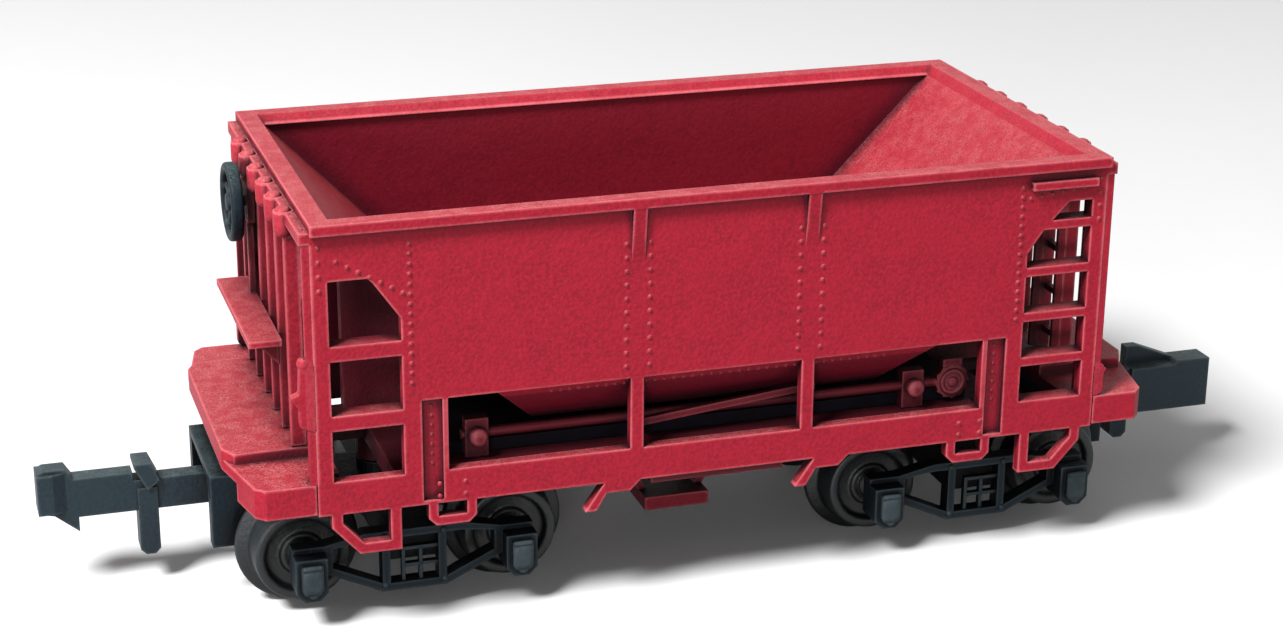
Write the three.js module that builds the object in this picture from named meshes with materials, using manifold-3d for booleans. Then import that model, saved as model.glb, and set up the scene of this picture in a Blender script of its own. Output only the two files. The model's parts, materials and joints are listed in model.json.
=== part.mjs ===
// A small-scale railway ore hopper car: open hopper body, underframe, two four-wheel trucks with hook
// couplers.
// Millimetres, +Z up, X along the car, origin on the floor under the middle of the car.
// The low points of the car are its wheel flanges, so they stand at height zero.

import * as THREE from 'three';
import { mergeVertices } from 'three/addons/utils/BufferGeometryUtils.js';
import Module from 'manifold-3d';

const wasm = await Module();
wasm.setup();

// Wheels and axles
const WHEEL_TREAD_DIAMETER = 4.7;
const FLANGE_DEPTH = 0.6;
const FLANGE_THICKNESS = 0.55;
const FLANGE_TIP_THICKNESS = 0.3;
const WHEELS_BACK_TO_BACK = 7.7;
const TREAD_WIDTH = 1.5;
const TREAD_TAPER = 0.08;
const WHEEL_RIM_THICKNESS = 0.55;
const WHEEL_WEB_RECESS = 0.4;
const WHEEL_HUB_DIAMETER = 2.2;
const AXLE_DIAMETER = 1.2;
const AXLE_POINT_DIAMETER = 0.2;
const AXLE_POINT_LENGTH = 1.2;
const AXLE_SHOULDER = 0.2;
const WHEEL_BORE_CLEARANCE = 0.03;
const JOURNAL_CLEARANCE = 0.1;

// Trucks
const TRUCK_SPACING = 28.7;
const WHEELBASE = 10;
const WHEEL_TO_SIDE_FRAME_GAP = 0.6;
const SIDE_FRAME_THICKNESS = 0.8;
const SIDE_FRAME_TOP_RISE = 1.4;
const SIDE_FRAME_BOTTOM_DROP = 1.67;
const SIDE_FRAME_MEMBER = 0.38;
const SIDE_FRAME_SHOULDER_DROP = 0.4;
const SIDE_FRAME_ARM_DROP = 0.4;
const SIDE_FRAME_COLUMN_WIDTH = 0.38;
const SPRING_WINDOW_WIDTH = 2.32;
const SPRING_GRID_BAR = 0.17;
const SPRING_GRID_REACH = 0.5;
const SPRING_GRID_MIDDLE = 0.33;
const SPRING_GRID_TOP_DROP = 0.6;
const SPRING_GRID_RECESS = 0.15;
const SPRING_GRID_THICKNESS = 0.3;
const JOURNAL_BOX_WIDTH = 1.5;
const JOURNAL_BOX_HEIGHT = 2.1;
const JOURNAL_BOX_PROUD = 0.8;
const JOURNAL_BOX_DROP = 0.3;
const JOURNAL_BOX_CORNER = 0.4;
const JOURNAL_LID_PROUD = 0.25;
const JOURNAL_LID_BORDER = 0.25;
const BOLSTER_WIDTH = 2.4;
const BOLSTER_HEIGHT = 1.8;
const CENTRE_PLATE_DIAMETER = 2.4;
const CENTRE_PLATE_HEIGHT = 0.8;
const CENTRE_PLATE_GAP = 0.1;
const TRUCK_PIN_DIAMETER = 1.4;
const TRUCK_PIN_CLEARANCE = 0.08;
const TRUCK_PIN_GRIP_CLEARANCE = 0.03;
const TRUCK_PIN_HEAD_DIAMETER = 2.2;
const TRUCK_PIN_HEAD_THICKNESS = 0.35;
const TRUCK_PIN_GRIP_LENGTH = 1.1;

// Coupler pocket at the outer end of each truck
const POCKET_WIDTH = 6.8;
const POCKET_WALL = 0.8;
const POCKET_DEPTH = 1.2;
const POCKET_WHEEL_GAP = 0.3;
const POCKET_TOP_RISE = 3.4;
const POCKET_LEG_DROP = 0.2;
const POCKET_ROOF_THICKNESS = 0.3;
const TONGUE_WIDTH = 4.4;
const TONGUE_THICKNESS = 0.6;
const TONGUE_AXLE_CLEARANCE = 0.35;
const POCKET_COVER_THICKNESS = 0.35;
const POCKET_COVER_GAP = 0.05;
const POCKET_COVER_DROP = 0.2;
const POCKET_COVER_LENGTH = 1.9;
const POCKET_LENGTH = 2.9;
const POCKET_BACK_THICKNESS = 0.35;
const POCKET_WALL_DROP = 0.6;
const PIVOT_SET_BACK = 0.85;
const PIVOT_DIAMETER = 0.5;
const PIVOT_PLAY = 0.17;

// Couplers: a hook coupler at the brake end and a latch coupler at the other
const COUPLER_REACH = 7.75;
const SHANK_WIDTH = 1.0;
const SHANK_HEIGHT = 1.55;
const SHANK_BOTTOM_RISE = 0.9;
const SHANK_TAIL_LENGTH = 0.65;
const SHANK_EYE_DIAMETER = 1.4;
const HOOK_LENGTH = 1.7;
const HOOK_NOSE_RISE = 0.95;
const HOOK_NOSE_TAPER = 0.35;
const HOOK_TOOTH_DROP = 0.75;
const HOOK_TOOTH_SET_BACK = 0.75;
const HOOK_HEAD_WIDTH = 1.5;
const HOOK_HEAD_HEIGHT_EXTRA = 0.4;
const HOOK_HEAD_LENGTH = 4.5;
const LATCH_HEAD_LENGTH = 4.6;
const LATCH_HEAD_WIDTH = 1.4;
const LATCH_HEAD_DROP = 0.95;
const LATCH_FACE_LENGTH = 1.9;
const LATCH_FACE_RISE = 0.2;
const LATCH_TOP_LENGTH = 0.7;
const LATCH_RISE = 1.0;
const LATCH_THICKNESS = 0.6;
const TRIP_POST_SET_BACK = 5.15;
const TRIP_POST_LENGTH = 1.2;
const TRIP_POST_TOP_LENGTH = 0.8;
const TRIP_POST_RISE = 0.9;
const TRIP_POST_EDGE = 0.2;
const TRIP_POST_TIP_DROP = 0.5;
const TRIP_POST_WIDTH = 1.5;
const TRIP_PIN_LENGTH = 0.95;
const TRIP_PIN_WIDTH = 1.2;
const TRIP_PIN_DROP = 2.3;
const TRIP_PIN_CORNER = 0.25;
const COUPLER_SPRING_DIAMETER = 1.1;
const COUPLER_SPRING_LENGTH = 0.75;
const COUPLER_SPRING_WIRE = 0.25;
const COUPLER_SPRING_GAP = 0.1;

// Body height and outline
const CENTRE_PLATE_TO_SILL = 1.25;
const RIM_LENGTH = 38.4;
const RIM_WIDTH = 19.9;
const BODY_HEIGHT = 13.8;
const RIM_LIP_HEIGHT = 0.5;
const RIM_TOP_WIDTH_SIDE = 0.9;
const RIM_TOP_WIDTH_END = 0.95;
const RIM_BEVEL = 0.3;
const SHEET_SET_BACK = 0.35;
const SHEET_THICKNESS = 0.6;
const SLOPE_SHEET_THICKNESS = 0.6;
const SLOPE_WEB_LENGTH = 8.3;
const SLOPE_WEB_THICKNESS = 0.65;
const SLOPE_WEB_GAP = 0.1;
const END_FLANGE_WIDTH = 0.45;
const END_FLANGE_THICKNESS = 0.45;
const END_KNOB_DIAMETER = 0.9;
const END_KNOB_HEIGHT = 0.85;
const SIDE_CREASE_HEIGHT = 5.2;
const HOPPER_FLOOR_HEIGHT = 2.8;
const HOPPER_FLOOR_THICKNESS = 0.5;
const HOPPER_FLOOR_LENGTH = 16.4;
const HOPPER_BELLY_SET_IN = 2.3;

// Body posts, ladders and sills
const CORNER_POST_WIDTH = 0.75;
const CORNER_POST_DEPTH = 0.6;
const CORNER_POST_END_LEG = 1.1;
const LADDER_GAP = 3.25;
const LADDER_POST_WIDTH = 0.85;
const CHANNEL_WIDTH = 1.2;
const CHANNEL_SET_BACK = 0.3;
const CHANNEL_THICKNESS = 0.3;
const CHANNEL_LIP = 0.25;
const CHANNEL_FOOT = 0.2;
const SIDE_SILL_HEIGHT = 1.6;
const LOWER_SHEET_HEIGHT = 5.1;
const UPPER_STAKE_WIDTH = 0.65;
const UPPER_STAKE_LENGTH = 2.6;
const LOWER_STAKE_WIDTH = 0.63;
const LOWER_STAKE_DEPTH = 0.5;
const STAKE_SPACING = 8.4;
const TREAD_BAR_PANEL_HEIGHT = 2.2;
const LADDER_PANEL_HEIGHT = 1.6;
const RUNG_HEIGHT = 0.45;
const RUNG_DEPTH = 1.0;
const RUNG_PITCH = 2.28;
const FIRST_RUNG_HEIGHT = 1.25;
const RUNG_COUNT = 5;
const TREAD_BAR_HEIGHT = 0.72;
const TREAD_BAR_PITCH = 3.3;
const FIRST_TREAD_BAR_HEIGHT = 4.05;
const LADDER_SLOPE_RISE = 2.0;
const LADDER_SLOPE_RUN = 1.4;
const GRAB_BAR_LENGTH = 3.4;
const GRAB_BAR_HEIGHT = 0.4;
const GRAB_BAR_PROUD = 0.35;
const GRAB_BAR_BELOW_LIP = 0.45;
const END_POST_THICKNESS = 0.35;
const END_POST_DEPTH = 0.7;
const END_POST_PITCH = 2.35;
const END_POST_COUNT = 6;
const END_POST_GUSSET = 4.2;
const END_POST_SET_OUT = 0.5;
const END_RUNG_COUNT = 4;
const END_RUNG_PITCH = 2.25;
const END_RUNG_THICKNESS = 0.3;
const END_RUNG_SET_BACK = 0.15;
const FIRST_END_RUNG_HEIGHT = 2.95;

// Underframe
const DECK_OVERHANG = 3.65;
const DECK_INNER_SET_BACK = 1.2;
const DECK_THICKNESS = 0.55;
const DECK_RISE = 1.0;
const DECK_RAISED_WIDTH = 12.4;
const DECK_STEP = 0.5;
const DECK_TAPER = 0.85;
const DECK_TAPER_LENGTH = 4.4;
const DECK_CORNER_CUT = 0.45;
const DECK_NOTCH_GAP = 0.05;
const DECK_LIP_FOOT = 0.1;
const DECK_END_LIP_LENGTH = 2.6;
const DECK_SIDE_LIP_THICKNESS = 0.5;
const DRAFT_SILL_WIDTH = 1.9;
const DRAFT_SILL_HEIGHT = 0.5;
const CENTRE_SILL_WIDTH = 2.8;
const CENTRE_SILL_HEIGHT = 1.4;
const BODY_BOLSTER_WIDTH = 2.0;
const BODY_BOLSTER_HEIGHT = 1.1;
const UNDERFRAME_SIDE_GAP = 0.05;
const SIDE_LEDGE_WIDTH = 1.3;
const SIDE_LEDGE_THICKNESS = 0.45;
const SIDE_LEDGE_RISE = 1.0;
const OUTLET_LENGTH = 8.0;
const OUTLET_WIDTH = 4.0;
const OUTLET_PLATE = 0.45;
const OUTLET_BOTTOM_LENGTH = 3.3;
const OUTLET_DROP = 4.1;
const OUTLET_HEAD_THICKNESS = 0.3;
const DOOR_BEAM_HEIGHT = 0.7;
const DOOR_BEAM_WIDTH = 6.2;
const NEEDLE_BEAM_LENGTH = 6.6;
const NEEDLE_BEAM_HEIGHT = 0.55;
const NEEDLE_BEAM_THICKNESS = 0.7;
const HANGER_WIDTH = 0.55;
const HANGER_DROP = 1.35;
const HANGER_LEAN = 1.0;
const HANGER_THICKNESS = 0.6;
const HANGER_PLACE = 5.7;
const TAB_LENGTH = 1.2;
const TAB_DROP = 0.5;

// Steps and staples under the side sills
const STEP_DROP = 2.05;
const STEP_BAR = 0.5;
const STEP_THICKNESS = 0.55;
const STEP_TOP_LENGTH = 3.2;
const STEP_FOOT_LENGTH = 1.95;
const STEP_SLANT_START = 0.65;
const STEP_PLACE = 15.4;
const STAPLE_LENGTH = 2.25;
const STAPLE_DROP = 1.1;
const STAPLE_BAR = 0.45;
const STAPLE_CORNER = 0.35;
const LEFT_STAPLE_PLACE = 13.0;
const RIGHT_STAPLE_PLACE = 12.65;

// Door gear on the side ledges
const GEAR_SET_IN = 1.0;
const DOOR_SHAFT_DIAMETER = 0.5;
const DOOR_SHAFT_STUB = 0.7;
const DOOR_SHAFT_RISE = 1.1;
const BEARING_LENGTH = 1.1;
const BEARING_HEIGHT = 1.9;
const BEARING_THICKNESS = 0.6;
const LEFT_BEARING_PLACE = 11.5;
const RIGHT_BEARING_PLACE = 10.2;
const BEARING_PIN_DIAMETER = 0.7;
const BEARING_PIN_LENGTH = 0.45;
const RATCHET_DIAMETER = 1.6;
const RATCHET_THICKNESS = 0.4;
const RATCHET_PLACE = 12.3;
const PAWL_LENGTH = 1.0;
const PAWL_WIDTH = 0.35;
const STRAP_START = 3.7;
const STRAP_END = 5.0;
const STRAP_START_RISE = 0.75;
const STRAP_END_RISE = 1.65;
const STRAP_WIDTH = 0.35;
const STRAP_THICKNESS = 0.3;
const STRAP_SHAFT_GAP = 0.05;
const STRAP_LUG = 0.4;
const GEAR_SEAT_GAP = 0.03;

// Brake platform and brake wheel at one end
const PLATFORM_WIDTH = 9.5;
const PLATFORM_DEPTH = 1.55;
const PLATFORM_THICKNESS = 0.3;
const PLATFORM_HEIGHT = 6.55;
const PLATFORM_GAP = 0.03;
const PLATFORM_BRACE = 1.3;
const PLATFORM_BRACE_THICKNESS = 0.35;
const BRAKE_WHEEL_DIAMETER = 3.8;
const BRAKE_WHEEL_THICKNESS = 0.75;
const BRAKE_WHEEL_RIM = 0.42;
const BRAKE_WHEEL_HUB_DIAMETER = 0.95;
const BRAKE_WHEEL_SPOKE = 0.3;
const BRAKE_WHEEL_SPOKE_THICKNESS = 0.25;
const BRAKE_WHEEL_SPOKES = 5;
const BRAKE_WHEEL_HEIGHT = 11.45;
const BRAKE_WHEEL_SIDE = 2.35;
const BRAKE_HOUSING_WIDTH = 1.6;
const BRAKE_HOUSING_HEIGHT = 1.8;
const BRAKE_HOUSING_DEPTH = 0.35;
const BRAKE_SHAFT_DIAMETER = 0.5;
const BRAKE_SHAFT_CLEARANCE = 0.05;
const BRAKE_WHEEL_STANDOFF = 0.15;
const BRAKE_ROD_WIDTH = 0.3;

// Ballast plate hidden between the body and the underframe
const BALLAST_END_GAP = 0.05;
const BALLAST_SIDE_GAP = 0.1;
const BALLAST_THICKNESS = 0.6;
const BALLAST_GAP = 0.05;

// How round things are cut, and how far cutters run past the faces they cut
const ROUND_STEPS = 24;
const SMALL_ROUND_STEPS = 12;
const OVERRUN = 0.2;
const WELD = 0.1;
const MERGE_DISTANCE = 1e-5;

// Heights, from the floor up
const AXLE_Z = WHEEL_TREAD_DIAMETER / 2 + FLANGE_DEPTH;
const FRAME_TOP_Z = AXLE_Z + SIDE_FRAME_TOP_RISE;
const FRAME_BOTTOM_Z = AXLE_Z - SIDE_FRAME_BOTTOM_DROP;
const CENTRE_PLATE_Z = FRAME_TOP_Z + CENTRE_PLATE_HEIGHT;
const BOSS_Z = CENTRE_PLATE_Z + CENTRE_PLATE_GAP;
const SILL_Z = BOSS_Z + CENTRE_PLATE_TO_SILL;
const RIM_Z = SILL_Z + BODY_HEIGHT;
const LIP_Z = RIM_Z - RIM_LIP_HEIGHT;
const SHEET_BOTTOM_Z = SILL_Z + LOWER_SHEET_HEIGHT;
const SILL_TOP_Z = SILL_Z + SIDE_SILL_HEIGHT;
const FLOOR_BOTTOM_Z = SILL_Z + HOPPER_FLOOR_HEIGHT;
const FLOOR_TOP_Z = FLOOR_BOTTOM_Z + HOPPER_FLOOR_THICKNESS;
const CREASE_Z = SILL_Z + SIDE_CREASE_HEIGHT;
const DECK_Z = SILL_Z + DECK_RISE;
const DECK_TOP_Z = DECK_Z + DECK_THICKNESS;
const RAISED_DECK_TOP_Z = DECK_TOP_Z + DECK_STEP;
const LEDGE_Z = SILL_Z + SIDE_LEDGE_RISE;
const LEDGE_TOP_Z = LEDGE_Z + SIDE_LEDGE_THICKNESS;

// Half sizes and places across and along the car
const RIM_X = RIM_LENGTH / 2;
const RIM_Y = RIM_WIDTH / 2;
const SHEET_Y = RIM_Y - SHEET_SET_BACK;
const SHEET_IN_Y = SHEET_Y - SHEET_THICKNESS;
const HOPPER_FLOOR_WIDTH = 2 * (SHEET_Y - HOPPER_BELLY_SET_IN);
const MOUTH_X = RIM_X - RIM_TOP_WIDTH_END;
const MOUTH_Y = RIM_Y - RIM_TOP_WIDTH_SIDE;
const LADDER_OUT_X = RIM_X - CORNER_POST_WIDTH;
const LADDER_IN_X = LADDER_OUT_X - LADDER_GAP;
const CHANNEL_X = LADDER_IN_X - LADDER_POST_WIDTH;
const OPENING_X = CHANNEL_X - CHANNEL_WIDTH;
const DECK_X = RIM_X + DECK_OVERHANG;
const DECK_IN_X = RIM_X - DECK_INNER_SET_BACK;
const END_POST_X = RIM_X + END_POST_SET_OUT;
const TRUCK_X = TRUCK_SPACING / 2;
const AXLE_X = WHEELBASE / 2;
const FLANGE_Y = WHEELS_BACK_TO_BACK / 2;
const TREAD_Y = FLANGE_Y + FLANGE_THICKNESS;
const WHEEL_FACE_Y = TREAD_Y + TREAD_WIDTH;
const FRAME_IN_Y = WHEEL_FACE_Y + WHEEL_TO_SIDE_FRAME_GAP;
const FRAME_OUT_Y = FRAME_IN_Y + SIDE_FRAME_THICKNESS;
const UNDERFRAME_Y = SHEET_IN_Y - UNDERFRAME_SIDE_GAP;

// Finishes
function finish(color, roughness, metalness) {
  return new THREE.MeshStandardMaterial({ color, roughness, metalness });
}
const redPlastic = () => finish(0xa82c36, 0.72, 0);
const blackPlastic = () => finish(0x2a3238, 0.55, 0);
const wheelPlastic = () => finish(0x30363a, 0.5, 0);
const steel = () => finish(0x9a9c9e, 0.35, 1);
const darkSteel = () => finish(0x55585a, 0.5, 1);

// A closed mesh as a solid that can be joined and cut
function solidOf(geometry) {
  const bare = geometry.clone();
  bare.deleteAttribute('normal');
  bare.deleteAttribute('uv');
  const merged = mergeVertices(bare, MERGE_DISTANCE);
  const index = merged.index.array;
  const triangles = [];
  for (let i = 0; i < index.length; i += 3) {
    const [a, b, c] = [index[i], index[i + 1], index[i + 2]];
    if (a !== b && b !== c && c !== a) triangles.push(a, b, c);
  }
  const vertProperties = Float32Array.from(merged.attributes.position.array);
  const triVerts = Uint32Array.from(triangles);
  return new wasm.Manifold(new wasm.Mesh({ numProp: 3, vertProperties, triVerts }));
}

function geometryOf(solid) {
  const mesh = solid.getMesh();
  const geometry = new THREE.BufferGeometry();
  geometry.setAttribute('position', new THREE.BufferAttribute(Float32Array.from(mesh.vertProperties), 3));
  geometry.setIndex(new THREE.BufferAttribute(Uint32Array.from(mesh.triVerts), 1));
  geometry.computeVertexNormals();
  return geometry;
}

const join = (solids) => solids.reduce((whole, solid) => whole.add(solid));
const cut = (solid, cutters) => cutters.reduce((rest, cutter) => rest.subtract(cutter), solid);

// A block between two values on each axis
function block([x0, x1], [y0, y1], [z0, z1]) {
  const geometry = new THREE.BoxGeometry(Math.abs(x1 - x0), Math.abs(y1 - y0), Math.abs(z1 - z0));
  geometry.translate((x0 + x1) / 2, (y0 + y1) / 2, (z0 + z1) / 2);
  return solidOf(geometry);
}

function shapeOf(points) {
  const outline = points.map(([u, v]) => new THREE.Vector2(u, v));
  if (THREE.ShapeUtils.isClockWise(outline)) outline.reverse();
  return new THREE.Shape(outline);
}

const extrusion = (points, depth) => new THREE.ExtrudeGeometry(shapeOf(points),
  { depth, bevelEnabled: false });

// An outline in X and Z, run along Y, with holes cut right through
function sideProfile(points, [y0, y1], holes = []) {
  const geometry = extrusion(points, Math.abs(y1 - y0));
  geometry.rotateX(Math.PI / 2);
  geometry.translate(0, Math.max(y0, y1), 0);
  const through = [Math.min(y0, y1) - OVERRUN, Math.max(y0, y1) + OVERRUN];
  return cut(solidOf(geometry), holes.map((hole) => sideProfile(hole, through)));
}

// An outline in Y and Z, run along X
function endProfile(points, [x0, x1]) {
  const geometry = extrusion(points, Math.abs(x1 - x0));
  geometry.rotateX(Math.PI / 2);
  geometry.rotateZ(Math.PI / 2);
  geometry.translate(Math.min(x0, x1), 0, 0);
  return solidOf(geometry);
}

// An outline in X and Y, run up Z
function plan(points, [z0, z1]) {
  const geometry = extrusion(points, Math.abs(z1 - z0));
  geometry.translate(0, 0, Math.min(z0, z1));
  return solidOf(geometry);
}

// A round bar along an axis, from one value to the other
function bar(axis, diameter, [from, to], [u, v], steps = ROUND_STEPS) {
  const geometry = new THREE.CylinderGeometry(diameter / 2, diameter / 2, Math.abs(to - from), steps);
  const middle = (from + to) / 2;
  if (axis === 'x') geometry.rotateZ(Math.PI / 2).translate(middle, u, v);
  if (axis === 'y') geometry.translate(u, middle, v);
  if (axis === 'z') geometry.rotateX(Math.PI / 2).translate(u, v, middle);
  return solidOf(geometry);
}

// A turned form about the Y axis; the profile is [radius, y] and starts and ends on the axis or closes on
// itself
function turnedAboutY(profile, steps = ROUND_STEPS) {
  const points = profile.map(([radius, y]) => new THREE.Vector2(radius, y));
  return solidOf(new THREE.LatheGeometry(points, steps));
}

const halfTurn = (solid) => {
  const geometry = geometryOf(solid);
  geometry.rotateZ(Math.PI);
  return solidOf(geometry);
};

const placed = (solid, x, y, z) => {
  const geometry = geometryOf(solid);
  geometry.translate(x, y, z);
  return solidOf(geometry);
};

function node(name, solid, material) {
  const mesh = new THREE.Mesh(geometryOf(solid), material);
  mesh.name = name;
  return mesh;
}

// Hopper body: a funnel with a rim, side frames with ladders, end posts
function funnel(endPoints, sidePoints) {
  const alongX = endPoints.map(([x, z]) => [x, z]);
  const mirrorX = [...alongX].reverse().map(([x, z]) => [-x, z]);
  const alongY = sidePoints.map(([y, z]) => [y, z]);
  const mirrorY = [...alongY].reverse().map(([y, z]) => [-y, z]);
  const wide = sideProfile([...alongX, ...mirrorX], [-RIM_Y, RIM_Y]);
  return wide.intersect(endProfile([...alongY, ...mirrorY], [-RIM_X, RIM_X]));
}

function hopperOutside() {
  const slopeRun = SLOPE_SHEET_THICKNESS * Math.SQRT2;
  const floorX = HOPPER_FLOOR_LENGTH / 2;
  const mouthX = MOUTH_X - RIM_BEVEL;
  return funnel(
    [[mouthX + slopeRun, LIP_Z + WELD], [mouthX + slopeRun, LIP_Z], [floorX + slopeRun / 2, FLOOR_BOTTOM_Z]],
    [[SHEET_Y, LIP_Z + WELD], [SHEET_Y, CREASE_Z], [HOPPER_FLOOR_WIDTH / 2, FLOOR_BOTTOM_Z]],
  );
}

function hopperInside() {
  const mouthX = MOUTH_X - RIM_BEVEL;
  const floorY = (HOPPER_FLOOR_WIDTH - SHEET_THICKNESS) / 2;
  return funnel(
    [[mouthX, LIP_Z], [HOPPER_FLOOR_LENGTH / 2, FLOOR_TOP_Z]],
    [[SHEET_IN_Y, LIP_Z], [SHEET_IN_Y, CREASE_Z + SHEET_THICKNESS / 2], [floorY, FLOOR_TOP_Z]],
  );
}

function rim() {
  const frame = block([-RIM_X, RIM_X], [-RIM_Y, RIM_Y], [LIP_Z, RIM_Z]);
  const slope = RIM_BEVEL / RIM_LIP_HEIGHT;
  const over = OVERRUN * slope;
  const mouth = funnel(
    [[MOUTH_X + over, RIM_Z + OVERRUN], [MOUTH_X - RIM_BEVEL - over, LIP_Z - OVERRUN]],
    [[MOUTH_Y + over, RIM_Z + OVERRUN], [MOUTH_Y - RIM_BEVEL - over, LIP_Z - OVERRUN]],
  );
  return frame.subtract(mouth);
}

// The near side frame: sheet, posts, sill and ladders in one plane, with tread bars at -X and rungs at +X
function treadBarHoles() {
  const left = -LADDER_OUT_X;
  const right = -LADDER_IN_X;
  const top = LIP_Z - TREAD_BAR_PANEL_HEIGHT;
  const lowBar = SILL_Z + FIRST_TREAD_BAR_HEIGHT;
  const highBar = lowBar + TREAD_BAR_PITCH;
  const lower = [[left, SILL_TOP_Z], [right, SILL_TOP_Z], [right, lowBar], [left, lowBar]];
  const middleFoot = lowBar + TREAD_BAR_HEIGHT;
  const middle = [[left, middleFoot], [right, middleFoot], [right, highBar], [left, highBar]];
  const upperFoot = highBar + TREAD_BAR_HEIGHT;
  const slopeX = right - LADDER_SLOPE_RUN;
  const upper = [[left, upperFoot], [right, upperFoot], [right, top - LADDER_SLOPE_RISE], [slopeX, top],
    [left, top]];
  return [lower, middle, upper];
}

function ladderHole() {
  const left = LADDER_IN_X;
  const right = LADDER_OUT_X;
  const foot = SILL_Z + FIRST_RUNG_HEIGHT + WELD;
  const top = LIP_Z - LADDER_PANEL_HEIGHT;
  const kink = top - RUNG_HEIGHT;
  const slopeX = left + LADDER_SLOPE_RUN;
  return [[left, foot], [right, foot], [right, top], [slopeX, top], [slopeX, kink],
    [left, kink - LADDER_SLOPE_RISE]];
}

function rectangle([x0, x1], [z0, z1]) {
  return [[x0, z0], [x1, z0], [x1, z1], [x0, z1]];
}

function sidePlate() {
  const outline = rectangle([-RIM_X, RIM_X], [SILL_Z, LIP_Z + WELD]);
  const lowerOpening = rectangle([-OPENING_X, OPENING_X], [SILL_TOP_Z, SHEET_BOTTOM_Z]);
  const channelFoot = SILL_Z + CHANNEL_FOOT;
  const channels = [-1, 1].map((side) => {
    const edges = [side * (OPENING_X + CHANNEL_LIP), side * CHANNEL_X].sort((a, b) => a - b);
    return rectangle(edges, [channelFoot, SHEET_BOTTOM_Z]);
  });
  const holes = [lowerOpening, ...channels, ...treadBarHoles(), ladderHole()];
  return sideProfile(outline, [-SHEET_Y, -SHEET_IN_Y], holes);
}

function channelWebs() {
  const outer = -SHEET_Y + CHANNEL_SET_BACK;
  return [-1, 1].map((side) => block(
    [side * OPENING_X, side * (CHANNEL_X + CHANNEL_LIP)],
    [outer, outer + CHANNEL_THICKNESS],
    [SILL_Z, SHEET_BOTTOM_Z + WELD],
  ));
}

function rungs() {
  return Array.from({ length: RUNG_COUNT }, (_, i) => {
    const foot = SILL_Z + FIRST_RUNG_HEIGHT + i * RUNG_PITCH;
    return block([LADDER_IN_X - WELD, LADDER_OUT_X + WELD], [-SHEET_Y, -SHEET_Y + RUNG_DEPTH],
      [foot, foot + RUNG_HEIGHT]);
  });
}

function treadBarLedges() {
  return [0, 1].map((i) => {
    const foot = SILL_Z + FIRST_TREAD_BAR_HEIGHT + i * TREAD_BAR_PITCH;
    const depth = [-SHEET_Y, -SHEET_Y + RUNG_DEPTH];
    return block([-LADDER_OUT_X - WELD, -LADDER_IN_X + WELD], depth, [foot, foot + TREAD_BAR_HEIGHT]);
  });
}

function grabBar() {
  const top = LIP_Z - GRAB_BAR_BELOW_LIP;
  const right = LADDER_OUT_X + WELD;
  return block([right - GRAB_BAR_LENGTH, right], [-SHEET_Y - GRAB_BAR_PROUD, -SHEET_Y + WELD],
    [top - GRAB_BAR_HEIGHT, top]);
}

function stakes() {
  const half = STAKE_SPACING / 2;
  const wedge = [[-SHEET_Y + WELD, LIP_Z + WELD], [-RIM_Y, LIP_Z + WELD],
    [-SHEET_Y, LIP_Z - UPPER_STAKE_LENGTH],
    [-SHEET_Y + WELD, LIP_Z - UPPER_STAKE_LENGTH]];
  return [-half, half].flatMap((x) => [
    endProfile(wedge, [x - UPPER_STAKE_WIDTH / 2, x + UPPER_STAKE_WIDTH / 2]),
    block([x - LOWER_STAKE_WIDTH / 2, x + LOWER_STAKE_WIDTH / 2], [-SHEET_Y, -SHEET_Y + LOWER_STAKE_DEPTH],
      [SILL_TOP_Z - WELD, SHEET_BOTTOM_Z + WELD]),
  ]);
}

// A step hangs below the ladder: one upright leg, a foot bar and a leg that slants up and then stands
function step(side) {
  const across = [-SHEET_Y, -SHEET_Y + STEP_THICKNESS];
  const top = SILL_Z + WELD;
  const foot = SILL_Z - STEP_DROP;
  const flip = ([along, z]) => [side * (STEP_PLACE + along), z];
  const slantX = STEP_TOP_LENGTH;
  const slantZ = SILL_Z - STEP_SLANT_START;
  const outline = [[0, top], [0, foot], [STEP_FOOT_LENGTH, foot], [slantX, slantZ], [slantX, top]].map(flip);
  const halfLean = Math.atan2(slantX - STEP_FOOT_LENGTH, slantZ - foot) / 2;
  const inner = [[STEP_BAR, SILL_Z], [STEP_BAR, foot + STEP_BAR],
    [STEP_FOOT_LENGTH - STEP_BAR * Math.tan(Math.PI / 4 - halfLean), foot + STEP_BAR],
    [slantX - STEP_BAR, slantZ + STEP_BAR * Math.tan(halfLean)], [slantX - STEP_BAR, SILL_Z]].map(flip);
  return sideProfile(outline, across, [inner]);
}

function staple(side, place) {
  const across = [-SHEET_Y, -SHEET_Y + STEP_THICKNESS];
  const foot = SILL_Z - STAPLE_DROP;
  const half = STAPLE_LENGTH / 2;
  const middle = side * place;
  const outline = [[-half, SILL_Z + WELD], [-half, foot + STAPLE_CORNER], [-half + STAPLE_CORNER, foot],
    [half - STAPLE_CORNER, foot], [half, foot + STAPLE_CORNER], [half, SILL_Z + WELD]];
  const slot = rectangle([-half + STAPLE_BAR, half - STAPLE_BAR], [foot + STAPLE_BAR, SILL_Z]);
  const shift = ([x, z]) => [middle + x, z];
  return sideProfile(outline.map(shift), across, [slot.map(shift)]);
}

function hanger(place) {
  const across = [-SHEET_Y, -SHEET_Y + HANGER_THICKNESS];
  const foot = SILL_Z - HANGER_DROP;
  const outline = [[0, SILL_Z + WELD], [-HANGER_LEAN, foot], [HANGER_WIDTH - HANGER_LEAN, foot],
    [HANGER_WIDTH - HANGER_LEAN / 2, SILL_Z - TAB_DROP], [TAB_LENGTH, SILL_Z - TAB_DROP],
      [TAB_LENGTH + TAB_DROP, SILL_Z],
    [TAB_LENGTH + TAB_DROP, SILL_Z + WELD]];
  return sideProfile(outline.map(([x, z]) => [place + x, z]), across);
}

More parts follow.
